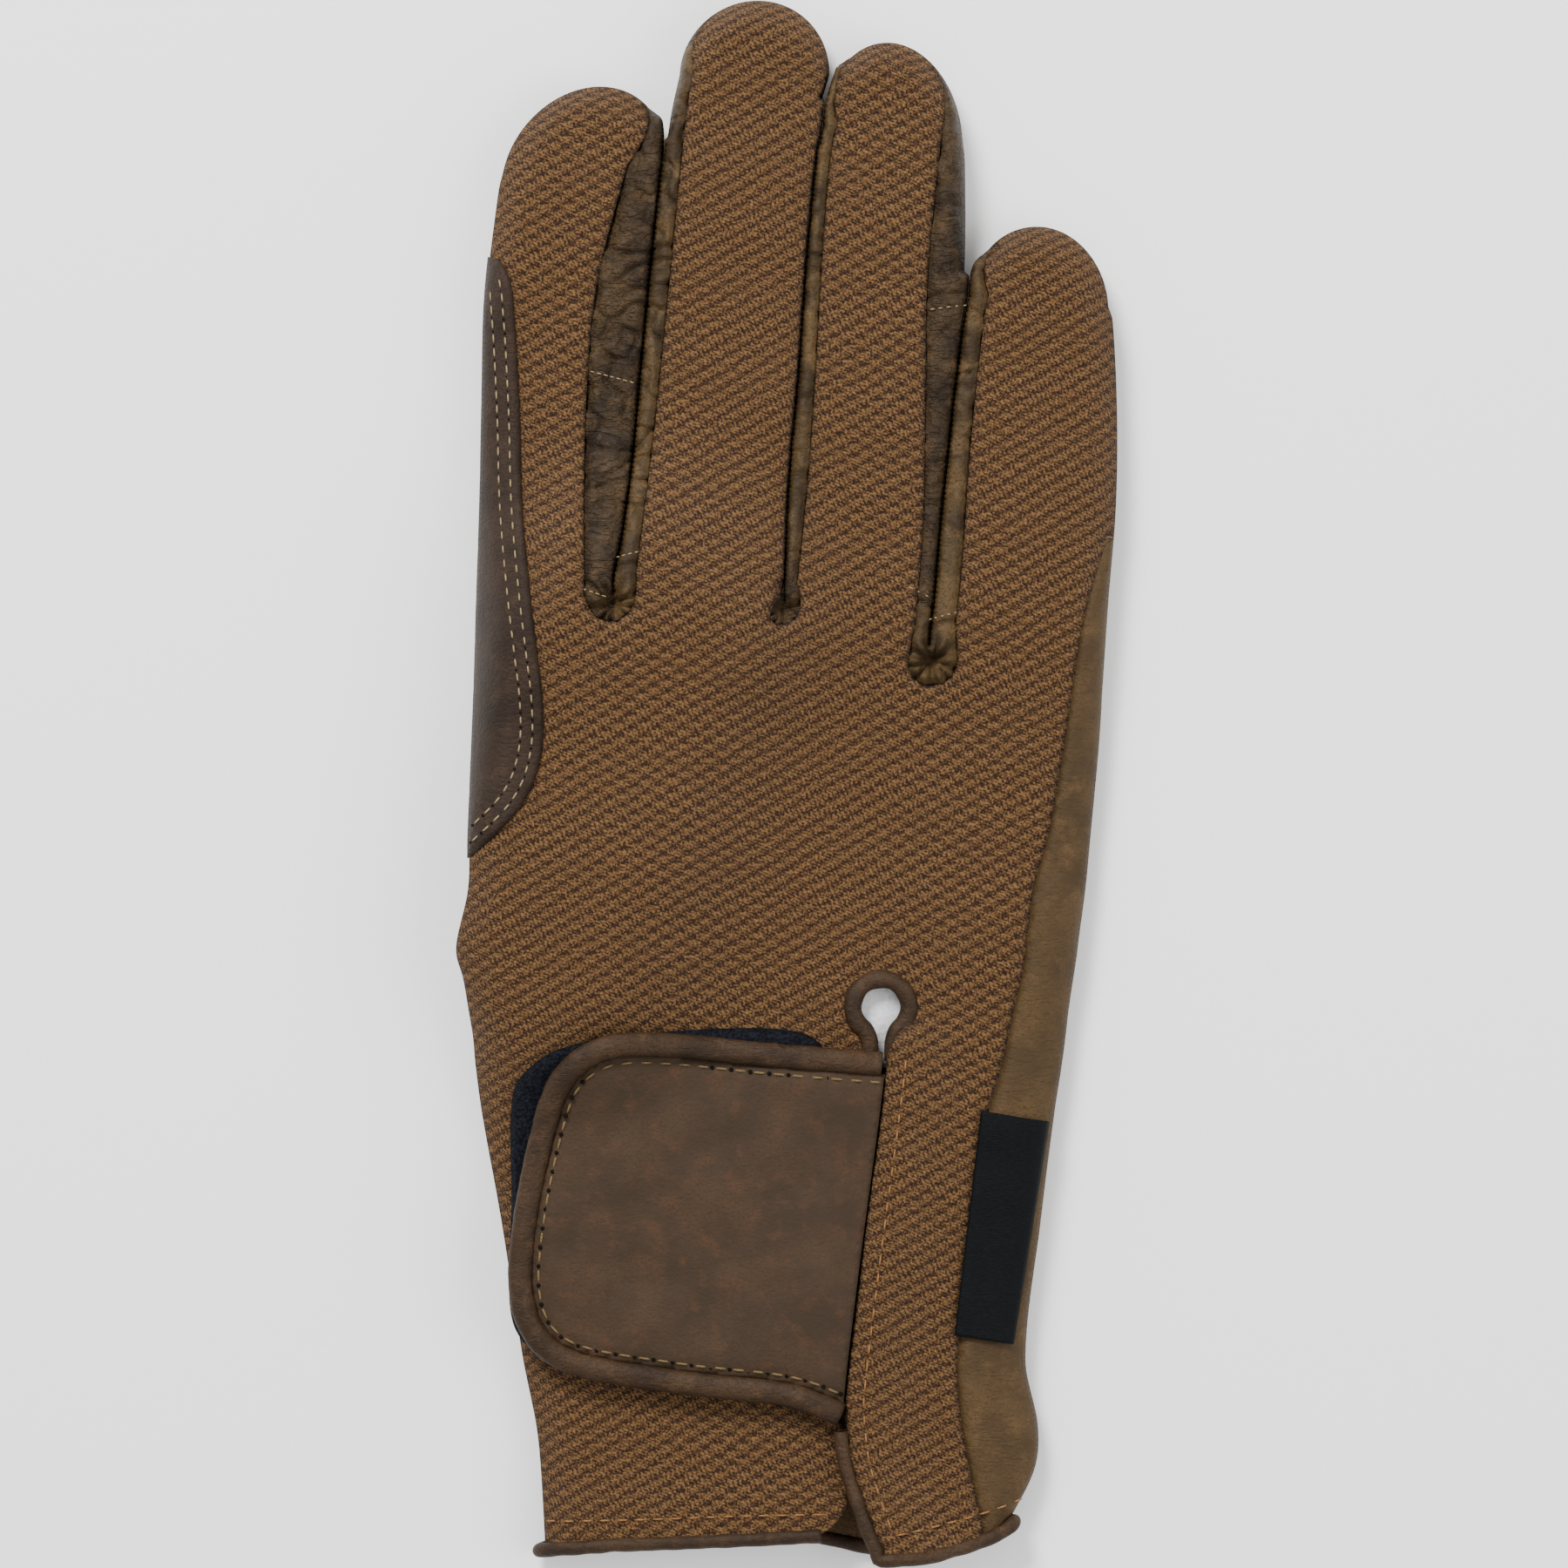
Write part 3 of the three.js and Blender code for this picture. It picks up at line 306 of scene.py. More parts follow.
def fingerHeights(k, side, low=0.0):
    # Heights up one side of a finger, closer together over the tip
    cap = capHeight(k, side)
    body = np.arange(rootHeight(k, side) + low, cap, 0.8)
    turn = np.linspace(0, math.pi / 2, 22)
    return np.concatenate([body, cap + (tipHeight(k) - cap) * np.sin(turn)])


def sideLine(k, side):
    y = fingerHeights(k, side)
    x = drawTogether(k, side, y, fingerSide(k, side, y))
    fork = k + (side > 0)
    if 0 < fork < 4:
        x = mix(palmWidth * forkX[fork] + 0.1 - side * 0.07, x, ramp(y - y[0], 0, 7))
    return stacked(x, y)


def seamLine(k, side):
    # Edge of the knit up one side of a finger, until it runs out over the tip
    y = fingerHeights(k, side, 2.6)
    cap = capHeight(k, side)
    y = y[y < cap + (tipHeight(k) - cap) * 0.78]
    column = "seamRight" if side > 0 else "seamLeft"
    line = sideLine(k, side)
    if (k, side) in ((0, -1), (1, 1), (3, 1)):
        return line[(line[:, 1] >= y[0]) & (line[:, 1] <= y[-1])]
    x = fingerSide(k, side, y, column)
    edge = np.interp(y, line[:, 1], line[:, 0])
    x = np.minimum(x, edge) if side > 0 else np.maximum(x, edge)
    return stacked(x, y)


def handSide(name, low, high):
    at = np.arange(share(low), high, 0.0055)
    return stacked(palmWidth * handCurve[name](at) + 0.1, hemY + handLength * at)


def quirkLine(k, left, right):
    # Round lower end of a gusset, from its left seam to its right one
    quirk = quirks[k]
    turn = np.linspace(math.pi, 0, 22)
    middle, half = (left[0] + right[0]) / 2, (right[0] - left[0]) / 2
    across, down = np.cos(turn), np.sin(turn)
    x = middle + across * (half + down * quirk["widen"]) + down * quirk["shift"]
    y = mix(left[1], right[1], (1 - across) / 2) - down**0.8 * quirk["sink"]
    return stacked(x, y)[1:-1]


sides = [(sideLine(k, -1), sideLine(k, 1)) for k in range(4)]
seams = [(seamLine(k, -1), seamLine(k, 1)) for k in range(4)]
quirkLines = [quirkLine(k, seams[k][1][0], seams[k + 1][0][0]) for k in range(3)]
leftSide = handSide("left", hemY - 1, forkAt[0])
rightSide = handSide("right", hemY + 1, forkAt[4])


def segments(line, reach, tight=0.0):
    # Short pieces of a line, each with the roll's width beside it and how tight it lies to another
    reach = np.broadcast_to(reach, len(line)).astype(float)
    tight = np.broadcast_to(tight, len(line)).astype(float)
    return stacked(line[:-1], line[1:], (reach[:-1] + reach[1:]) / 2, tight[1:])


def overTip(k, side):
    # Along a finger's side the roll's width turns into the tip's own
    line = sides[k][side > 0]
    cap = capHeight(k, side)
    reach = mix(fingers[k]["reach"][side > 0], 6.0, ramp(line[:, 1], cap - 4, tipHeight(k)))
    return segments(line, reach, closeness(k, side, line[:, 1])[1])


outline = np.vstack(
    [segments(leftSide, 6.0), segments(rightSide, 6.0)]
    + [overTip(k, side) for k in range(4) for side in (-1, 1)]
)


def nearest(points, lines, reach=14.0):
    # Distance to the nearest line, also as a share of its reach, the way to it and its tightness
    points = np.asarray(points, float)[:, :2]
    distance = np.full(len(points), float(reach))
    part = np.full(len(points), 9.0)
    away = np.zeros((len(points), 2))
    tight = np.zeros(len(points))
    low = np.minimum(lines[:, 1], lines[:, 3])
    high = np.maximum(lines[:, 1], lines[:, 3])
    order = np.argsort(points[:, 1])
    for chunk in np.array_split(order, len(order) // 400 + 1) if len(order) else []:
        p = points[chunk]
        near = (high > p[:, 1].min() - reach) & (low < p[:, 1].max() + reach)
        if not near.any():
            continue
        a, b, width = lines[near, :2], lines[near, 2:4], lines[near, 4]
        along = b - a
        length = (along**2).sum(1) + 1e-12
        t = np.clip(((p[:, None] - a) * along).sum(2) / length, 0, 1)
        gap = a + t[:, :, None] * along - p[:, None]
        far = np.sqrt((gap**2).sum(2))
        best = (far / width).argmin(1)
        row = np.arange(len(p))
        distance[chunk] = far[row, best]
        part[chunk] = far[row, best] / width[best]
        away[chunk] = gap[row, best] / (far[row, best][:, None] + 1e-6)
        tight[chunk] = lines[near][best, 5]
    return distance, part, away, tight


def waves(points, size, seed):
    # Gentle irregular waves between about -1 and 1
    draw = np.random.default_rng(seed)
    total = np.zeros(len(points))
    for turn, stretch, shift in draw.uniform((0, 0.6, 0), (math.pi, 1.5, 2 * math.pi), (7, 3)):
        way = points[:, 0] * math.cos(turn) + points[:, 1] * math.sin(turn)
        total += np.sin(way * 2 * math.pi / (size * stretch) + shift)
    return total / 2.6


def creases(points, size, seed, squeeze=(1, 1)):
    # Narrow grooves where the waves change sign
    return -bell(waves(points * np.array(squeeze), size, seed), 0.16)


def slitX(name, y):
    return palmWidth * slitCurve[name](share(y)) + 0.1


def distanceTo(line, points, reach):
    return nearest(points, segments(line, 1), reach)[0]


# Heights of floor, side seam and back
lean = math.radians(thumb["lean"])
thumbWay = np.array([math.sin(lean), math.cos(lean)])


def besideThumb(x, y):
    dx, dy = x - thumb["x"], y - thumb["y"]
    along = np.clip(dx * thumbWay[0] + dy * thumbWay[1], 0, thumb["length"])
    return np.hypot(dx - along * thumbWay[0], dy - along * thumbWay[1]) - thumb["radius"]


def floorZ(x, y):
    hem = 0.65 * (1 - ramp(y - hemY, 7.5, 15))
    return thumb["lift"] * (1 - ramp(besideThumb(x, y), 0, palmSkirt)) + hem


def depth(y):
    at = share(y)
    return mix(handDepth * mix(0.92, 1.0, ramp(at, 0.2, 0.85)), fingerDepth, ramp(at, 0.87, 1.02))


def sideZ(x, y):
    return floorZ(x, y) + sideShare * depth(y)


def flapZ(x, y):
    at = share(y)
    across = x - slitX("right", y)
    below = 1 - ramp(at, 0.54, 0.587)
    return slitLift * below * (across > -0.02) * (1 - ramp(across, 0, liftReach))


def backZ(x, y, flap=True):
    at = share(y)
    left, right = palmWidth * handCurve["left"](at), palmWidth * handCurve["right"](at)
    across = np.clip((x - (left + right) / 2) / ((right - left) / 2), -1, 1)
    z = depth(y) - crown * across**2
    z = z + thumb["lift"] * 0.93 * (1 - ramp(besideThumb(x, y), 0, backSkirt))
    z = z + 0.65 * (1 - ramp(y - hemY, 7.5, 15))
    points = stacked(x, y)
    for high, size, seed in wavesAll.values():
        z = z + high * waves(points, size, seed)
    return z + flapZ(x, y) if flap else z


def roundOff(part):
    return np.sqrt(np.maximum(0, 1 - (1 - np.clip(part, 0, 1)) ** 2))


handSeam = handSide("seam", hemY + 3, 1.09)
edgeAtSeam = np.where(
    handSeam[:, 1] > rightSide[-1, 1],
    np.interp(handSeam[:, 1], sides[3][1][:, 1], sides[3][1][:, 0]),
    np.interp(handSeam[:, 1], rightSide[:, 1], rightSide[:, 0]),
)
handSeam[:, 0] = np.minimum(handSeam[:, 0], edgeAtSeam - 0.5)
handSeam[-1, 0] = edgeAtSeam[-1]

roundForks = [np.vstack([seams[k][1][:1], quirkLines[k], seams[k + 1][0][:1]]) for k in range(3)]
sewnSides = [seams[k][side] for k, side in ((0, 1), (1, 0), (2, 0), (2, 1), (3, 0))]
knitSeams = np.vstack([segments(line, 1) for line in sewnSides + roundForks])
# Seams across the gussets: ends of each, in millimetres
crossSeams = [
    [(-30.9, 66.8), (-23.2, 64.0)],
    [(-21.0, 82.0), (-16.9, 82.4)],
    [(1.6, 80.7), (5.4, 81.1)],
    [(21.0, 74.6), (28.0, 75.2)],
    [(25.2, 62.6), (29.0, 63.2)],
    [(-26.2, 32.9), (-22.4, 33.8)],
    [(-31.4, 30.8), (-27.0, 29.4)],
    [(-1.3, 34.6), (1.8, 35.6)],
    [(18.4, 28.8), (22.3, 27.2)],
    [(21.4, 23.9), (26.6, 25.2)],
]
crossLines = np.vstack([segments(np.array(line), 1) for line in crossSeams])
keyholeTurns = np.radians(np.linspace(236, -56, 60))


def aroundKeyhole(radius, turns=keyholeTurns):
    spots = stacked(np.cos(turns), np.sin(turns)) * radius
    return spots + np.array([keyhole["x"], keyhole["y"]])


slitHeights = np.arange(-118.5, -41.2, 0.8)


def slitLine(name):
    return stacked(slitX(name, slitHeights), slitHeights)


slitLeft, slitRight = slitLine("left"), slitLine("right")
slitBulge = ramp(slitLeft[:, 1], -116.5, -111) * (1 - ramp(slitLeft[:, 1], -101, -96))
slitLeft[:, 0] += 3.4 * slitBulge


def topZ(points, leather=False):
    # Height of the upper side, rolled down at the outline and drawn in at the seams
    x, y = points[:, 0], points[:, 1]
    part, tight = nearest(points, outline)[1::2]
    # Between two fingers the edge turns down more sharply and less deep than on the open sides
    back = backZ(x, y)
    z = mix(mix(sideZ(x, y), back - 2.1, tight), back, roundOff(part) ** mix(1.0, 0.7, tight))
    seamDip = bell(nearest(points, knitSeams, 5)[0], seamPull["width"])
    pull = seamPull["leather" if leather else "knit"]
    z = z - pull * seamDip * np.clip(part * 2.5, 0.15, 1)
    sideDip = bell(distanceTo(handSeam, points, 5), seamPull["sideWidth"])
    z = z - seamPull["side"] * sideDip * np.clip(part * 3, 0.1, 1)
    # The fold beside the slit is round, and its row of stitches draws it in
    across = x - slitX("right", y)
    folded = (across > -0.02) & (y < -41.0)
    drop = flapFold["depth"] * (1 - roundOff(np.clip(across, 0, None) / flapFold["round"]))
    row = bell(across - flapFold["stitchesAt"], flapFold["stitchWidth"])
    return z - np.where(folded, drop + flapFold["stitchPull"] * row, 0)


# Meshes
def inside(points, loop):
    # True for points within a closed loop
    a, b = loop, np.roll(loop, -1, axis=0)
    low, high = np.minimum(a[:, 1], b[:, 1]), np.maximum(a[:, 1], b[:, 1])
    result = np.zeros(len(points), bool)
    order = np.argsort(points[:, 1])
    for chunk in np.array_split(order, len(order) // 300 + 1) if len(order) else []:
        p = points[chunk]
        near = (high >= p[:, 1].min()) & (low <= p[:, 1].max()) & (high > low)
        s, e = a[near], b[near]
        y = p[:, 1][:, None]
        crossing = (s[:, 1] > y) != (e[:, 1] > y)
        cut = s[:, 0] + (y - s[:, 1]) / (e[:, 1] - s[:, 1]) * (e[:, 0] - s[:, 0])
        result[chunk] = (crossing & (cut > p[:, 0][:, None])).sum(1) % 2 == 1
    return result


def patchwork(loop, step, rolled=None):
    # Triangles over a flat outline: fine rows along the rolled outline, even points elsewhere
    loop = np.vstack([loop, loop[:1]])
    keep = np.concatenate([[True], np.linalg.norm(np.diff(loop, axis=0), axis=1) > 0.02])
    loop = loop[keep]
    if np.linalg.norm(loop[0] - loop[-1]) < 0.02:
        loop = loop[:-1]
    border = segments(np.vstack([loop, loop[:1]]), 1)
    xs = np.arange(loop[:, 0].min(), loop[:, 0].max(), step)
    ys = np.arange(loop[:, 1].min(), loop[:, 1].max(), step * 0.866)
    grid = np.array([(x + (j % 2) * step / 2, y) for j, y in enumerate(ys) for x in xs])
    grid = grid[inside(grid, loop)]
    grid = grid[nearest(grid, border, 6)[0] > step * 0.45]
    extra = []
    if rolled is not None:
        offsets = (0.12, 0.5, 1.1) if step > 0.5 else (0.12, 0.42)
        grid = grid[nearest(grid, rolled, 6)[0] > offsets[-1] + step * 0.65]
        a, b = rolled[:, :2], rolled[:, 2:4]
        way = (b - a) / (np.linalg.norm(b - a, axis=1)[:, None] + 1e-9)
        for offset in offsets:
            for side in (-1, 1):
                spots = (a + b) / 2 + stacked(-way[:, 1], way[:, 0]) * offset * side
                spots = np.round(spots / 0.001) * 0.001
                spots = spots[inside(spots, loop)]
                far = nearest(spots, border, 6)[0]
                extra.append(spots[far > offset * 0.93])
    points = np.vstack([loop, grid] + extra)
    face = list(range(len(loop)))
    found = geometry.delaunay_2d_cdt([Vector(p) for p in points], [], [face], 1, 1e-4, False)
    flat = np.array([tuple(v) for v in found[0]])
    faces = np.array([f for f in found[2] if len(f) == 3])
    # No face reaches across a fold or cleft of the outline
    a, b, c = (flat[faces[:, i]] for i in range(3))
    cross = (b[:, 0] - a[:, 0]) * (c[:, 1] - a[:, 1]) - (b[:, 1] - a[:, 1]) * (c[:, 0] - a[:, 0])
    faces[cross < 0] = faces[cross < 0][:, ::-1]
    return flat, faces[(np.abs(cross) > 1e-6) & inside((a + b + c) / 3, loop)]


def slotted(piece, name, body="root"):
    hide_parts(name)
    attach(piece, body)


def makeMesh(name, points, faces, material, cloth=None, thick=None):
    mesh = bpy.data.meshes.new(name)
    mesh.from_pydata((np.asarray(points) * 0.001).tolist(), [], [list(map(int, f)) for f in faces])
    mesh.update()
    if cloth is not None:
        layer = mesh.uv_layers.new(name="cloth")
        index = np.zeros(len(mesh.loops), np.int32)
        mesh.loops.foreach_get("vertex_index", index)
        layer.data.foreach_set("uv", cloth[index].astype(np.float32).ravel())
    piece = bpy.data.objects.new(name, mesh)
    bpy.context.collection.objects.link(piece)
    mesh.materials.append(material)
    mesh.shade_smooth()
    if thick:
        shell = piece.modifiers.new("wall", "SOLIDIFY")
        shell.thickness = thick * 0.001
        shell.offset = -1
        shell.use_quality_normals = True
    return piece


def outward(flat):
    # Way out of the hand's outline; a point on the outline itself takes it from the point beside it
    far, part, away, tight = nearest(flat, outline)
    edge, row = np.where(far < 0.03)[0], np.where((far >= 0.03) & (far < 0.3))[0]
    for chunk in np.array_split(edge, max(1, len(edge) // 200)) if len(row) else []:
        gap = ((flat[chunk][:, None] - flat[row]) ** 2).sum(2)
        away[chunk] = away[row[gap.argmin(1)]]
    return far, part, away


def lookOver(loop, step, height, rolled=outline):
    flat, faces = patchwork(loop, step, rolled)
    z = height(flat)
    if rolled is None:
        return stacked(flat, z), faces, flat
    # Cloth coordinates run on over the roll by its true length
    far, part, away = outward(flat)
    part = np.clip(part, 0, 1)
    reach = far / np.maximum(part, 1e-3)
    extra = np.where(part < 1, reach * (np.arcsin(1 - part) - (1 - part)), 0)
    extra = np.clip(extra, 0, 3.5)
    return stacked(flat, z), faces, flat + away * extra[:, None]


def layer(name, loop, height, look, material, node, slot, rolled=outline, onCloth=False):
    points, faces, cloth = lookOver(loop, look["step"], height, rolled)
    piece = makeMesh(name, points, faces, material, cloth if onCloth else None, look["thick"])
    slotted(piece, node)
    print(name, len(points), len(faces))
    return piece, points, faces


def roll(name, line, size, node, sides, ripple, seed):
    # Leather rolled along a line, closed at both ends; it swells and thins a little
    line = np.asarray(line, float)
    along = np.gradient(line, axis=0)
    along /= np.linalg.norm(along, axis=1)[:, None]
    across = np.cross(along, [0, 0, 1.0])
    across /= np.linalg.norm(across, axis=1)[:, None] + 1e-9
    above = np.cross(across, along)
    turns = np.linspace(0, 2 * math.pi, sides, endpoint=False)
    draw = np.random.default_rng(seed)
    run = np.concatenate([[0], np.cumsum(np.linalg.norm(np.diff(line, axis=0), axis=1))])
    swell = 1
    for length, shift in draw.uniform((2.5, 0), (9, 6.3), (4, 2)):
        swell = swell + ripple * np.sin(run * 2 * math.pi / length + shift)
    verts, faces = [], []
    for turn in turns:
        w, h = math.cos(turn) * size[0], math.sin(turn) * size[1]
        verts.append(line + (across * w + above * h) * swell[:, None])
    verts = np.stack(verts, 1).reshape(-1, 3)
    count = len(line)
    for j in range(count - 1):
        for i in range(sides):
            n = (i + 1) % sides
            faces.append((j * sides + i, (j + 1) * sides + i, (j + 1) * sides + n, j * sides + n))
    faces.append(tuple(range(sides)))
    faces.append(tuple(reversed(range((count - 1) * sides, count * sides))))
    faces = [tuple(reversed(f)) for f in faces]
    slotted(makeMesh(name, verts, faces, leather["binding"]), node)
    print(name, len(verts), len(faces))


# Materials
def linear(code):
    # sRGB hex to linear colour
    parts = [int(code[i : i + 2], 16) / 255 for i in (0, 2, 4)]
    return [c / 12.92 if c <= 0.04045 else ((c + 0.055) / 1.055) ** 2.4 for c in parts] + [1.0]


def addNode(tree, kind, inputs=None, **settings):
    # Each input is a value or another node's output
    node = tree.nodes.new("ShaderNode" + kind)
    for key, value in settings.items():
        setattr(node, key, value)
    for key, value in (inputs or {}).items():
        if isinstance(value, bpy.types.NodeSocket):
            tree.links.new(value, node.inputs[key])
        else:
            node.inputs[key].default_value = value
    return node.outputs


def newMaterial(name, roughness, specular):
    material = bpy.data.materials.new(name)
    material.use_nodes = True
    surface = material.node_tree.nodes["Principled BSDF"]
    surface.inputs["Roughness"].default_value = roughness
    surface.inputs["Specular IOR Level"].default_value = specular
    return material, surface, partial(addNode, material.node_tree)


def blend(add, factor, low, high, a, b):
    # Colour a where the factor is up to low, colour b where it is high or more
    place = add("MapRange", {"Value": factor, "From Min": low, "From Max": high})[0]
    return add("Mix", {0: place, 6: a, 7: b}, data_type="RGBA")[2]


def finish(material, surface, colour, height, relief):
    # Colour and bumps; relief is their depth in millimetres
    tree = material.node_tree
    bumps = addNode(tree, "Bump", {"Height": height, "Distance": relief * 0.001, "Strength": 1.0})
    tree.links.new(colour, surface.inputs["Base Color"])
    tree.links.new(bumps[0], surface.inputs["Normal"])
    return material


# Pique knit of spun yarn: diagonal ribs of small tucked loops, narrow furrows, matt all over; its
# colour follows the height, darker in the furrows as painted shade and lighter on the tops as
# painted highlight
knitLook = {
    # The first colour is painted shade for the knit's low places, top is a painted highlight for
    # its high places, yarn is the knit's own colour
    "furrowShade": "2b1808",
    "yarn": "5f4226",
    "top": "906b41",
    "roughness": 0.92,
    "specular": 0.1,
    "sheen": 0.04,
    "drift": ((0.12, 0.9), (1.3, 0.22)),  # scale and reach: ribs wander, and their edges shiver
    "ribs": (0.262, -0.452),  # waves to the millimetre, across and up: a rib each 1.9 mm
    "tufts": (0.24, 0.475),
    "wales": (1.49, 0.04),
    "legs": (1.22, 0.56, 1.0),
    "loops": (0.87, 1.95),
    "courses": (0.0, -0.93, 0.6),
    "grain": {"Scale": 2.9, "Detail": 3.0, "Roughness": 0.75},
    "relief": 0.4,
}


def knitMaterial(look):
    material, surface, add = newMaterial("pique_knit", look["roughness"], look["specular"])
    surface.inputs["Sheen Weight"].default_value = look["sheen"]
    cloth = add("UVMap", uv_map="cloth")[0]
    place = cloth
    for scale, reach in look["drift"]:
        noise = add("TexNoise", {"Vector": cloth, "Scale": scale, "Detail": 1.0})["Color"]
        moved = add("VectorMath", {0: noise, 1: (reach, reach, 0)}, operation="MULTIPLY")[0]
        place = add("VectorMath", {0: place, 1: moved}, operation="ADD")[0]

    def row(across, up, shift=0.0):
        way = (across * 2 * math.pi, up * 2 * math.pi, 0)
        run = add("VectorMath", {0: place, 1: way}, operation="DOT_PRODUCT")["Value"]
        run = add("Math", {0: run, 1: shift}, operation="ADD")[0]
        return add("Math", {0: run}, operation="SINE")[0]

    def total(start, *parts):
        for part, weight in parts:
            start = add("Math", {0: part, 1: weight, 2: start}, operation="MULTIPLY_ADD")[0]
        return start

    # Furrows are jagged where the loops meet
    wales, courses = row(*look["wales"]), row(*look["courses"])
    jag = total(0.0, (courses, 0.45), (wales, 0.5))
    ribs = total(0.5, (row(*look["ribs"], jag), 0.5))
    ribs = add("Math", {0: ribs, 1: 0.42}, operation="POWER")[0]
    grain = add("TexNoise", {"Vector": place, **look["grain"]})[0]
    height = total(
        -1.62,
        (row(*look["tufts"]), 0.08),
        (ribs, 0.46),
        (row(*look["loops"]), 0.12),
        (row(*look["legs"]), 0.11),
        (courses, 0.06),
        (grain, 3.4),
    )
    # Painted shade where the knit is low, the yarn's own colour between, and a painted highlight
    # where it is high
    colour = blend(add, height, 0.05, 0.5, linear(look["furrowShade"]), linear(look["yarn"]))
    colour = blend(add, height, 0.42, 0.9, colour, linear(look["top"]))
    return finish(material, surface, colour, height, look["relief"])


# Noise in leather, by scale to the millimetre, detail and roughness
leatherNoise = {
    "mottle": (0.13, 4.0, 0.6),
    "pores": (2.6, 3.0, 0.65),
    "spots": (0.32, 3.0, 0.6),
    "folds": (0.75, 3.0, 0.55),
}


def leatherMaterial(name, base, deep, warm, roughness, relief, wrinkles):
    # Soft drum-dyed leather: fine pores, faint mottling from wear, a few creases, little gloss
    material, surface, add = newMaterial(name, roughness, 0.14)
    place = add("Mapping", {"Vector": add("TexCoord")["Object"], "Scale": (1000, 1000, 1000)})[0]
    folded = add("Mapping", {"Vector": place, "Scale": (0.35, 1.0, 0.6)})[0]
    noise = {}
    for part, (scale, detail, rough) in leatherNoise.items():
        values = {"Scale": scale, "Detail": detail, "Roughness": rough}
        values["Vector"] = folded if part == "folds" else place
        noise[part] = add("TexNoise", values)[0]
    colour = blend(add, noise["mottle"], 0.38, 0.66, linear(deep), linear(base))
    colour = blend(add, noise["spots"], 0.52, 0.78, colour, linear(warm))
    colour = blend(add, noise["pores"], 0.3, 0.52, linear(deep), colour)
    cells = add("TexVoronoi", {"Vector": place, "Scale": 1.5})[0]
    height = add("Math", {0: cells, 1: -0.35}, operation="MULTIPLY")[0]
    fold = noise["folds"]
    steps = {"SUBTRACT": 0.5, "ABSOLUTE": 0, "MULTIPLY": 14.0, "MINIMUM": 1.0}
    for operation, value in steps.items():
        fold = add("Math", {0: fold, 1: value}, operation=operation)[0]
    for part, weight in ((noise["pores"], 0.8), (fold, wrinkles)):
        height = add("Math", {0: part, 1: weight, 2: height}, operation="MULTIPLY_ADD")[0]
    return finish(material, surface, colour, height, relief)


def fibreMaterial(name, base, lighter, roughness, size, relief, stretch=(1, 1, 1)):
    # Thread, pile or jersey in one colour, with an even grain of the given size in millimetres
    material, surface, add = newMaterial(name, roughness, 0.08)
    scale = tuple(1000 * v for v in stretch)
    place = add("Mapping", {"Vector": add("TexCoord")["Object"], "Scale": scale})[0]
    values = {"Vector": place, "Scale": 1 / size, "Detail": 2.0, "Roughness": 0.5}
    grain = add("TexNoise", values)[0]
    colour = blend(add, grain, 0.35, 0.7, linear(base), linear(lighter))
    return finish(material, surface, colour, grain, relief)


# Leather by colour, deep tone, warm tone, roughness, relief in millimetres and wrinkles
knit = knitMaterial(knitLook)
leathers = {
    # Goat leather, olive brown and cloudy. The gussets take it in two tones: darker down in the
    # clefts and round the forks, which is painted shade, and paler on the strips that face the
    # light, which is painted highlight
    "palm": ("palm_leather", "483720", "382a18", "513d25", 0.62, 0.16, 0.35),
    # Darker gusset tone: painted shade down in the clefts and round the forks
    "gusset": ("gusset_leather", "3c2e1c", "20170e", "493722", 0.58, 0.192, 0.9),
    # Paler copy of the gusset leather: painted highlight on the strips that face the light; it also
    # covers some lower ends
    "paler": ("paler_gusset_leather", "4a3921", "2b2012", "5a452a", 0.56, 0.16, 0.3),
    # Firm cow leather, dark and even; matt reddish nubuck on the strap; thin and smooth rolls
    "patch": ("patch_leather", "2e2118", "20170f", "35271b", 0.6, 0.176, 0.3),
    "strap": ("strap_leather", "3a2b1e", "2f2419", "432d1e", 0.66, 0.128, 0.1),
    "binding": ("binding_leather", "39291a", "271b10", "443120", 0.55, 0.16, 0.35),
}
leather = {part: leatherMaterial(*look) for part, look in leathers.items()}
# Fibres by base and lighter colour, roughness, grain size, relief and stretch
fibres = {
    "lining": ("pale_lining", "d2d4d2", "e6e8e7", 0.9, 0.6, 0.1),  # soft pale jersey
    "suede": ("suede_inside", "4a3a28", "5d4b35", 0.9, 0.5, 0.2),  # rough inner side of the hide
    "loops": ("loop_pile", "08090c", "191b22", 0.95, 0.5, 0.5),  # black nylon loops, dull
    "tape": ("woven_tape", "050608", "0c0e10", 0.7, 0.35, 0.12, (0.4, 2.2, 1)),  # fine woven rows
    "cream": ("cream_thread", "746449", "968360", 0.7, 0.25, 0.1),  # threads stand out from leather
    "paler": ("worn_thread", "7d6a49", "9c8761", 0.7, 0.25, 0.1),
    "olive": ("olive_thread", "51432b", "725f40", 0.7, 0.25, 0.1),
    "brown": ("brown_thread", "6e4a2b", "936b46", 0.75, 0.25, 0.1),
    # The needle-hole discs are painted shade: dark where a hole lies between two stitches
    "holes": ("needle_hole_painted_shade", "0d0906", "181009", 0.95, 0.5, 0.05),  # dark between two stitches
}
fibre = {part: fibreMaterial(*look) for part, look in fibres.items()}
print("materials made")

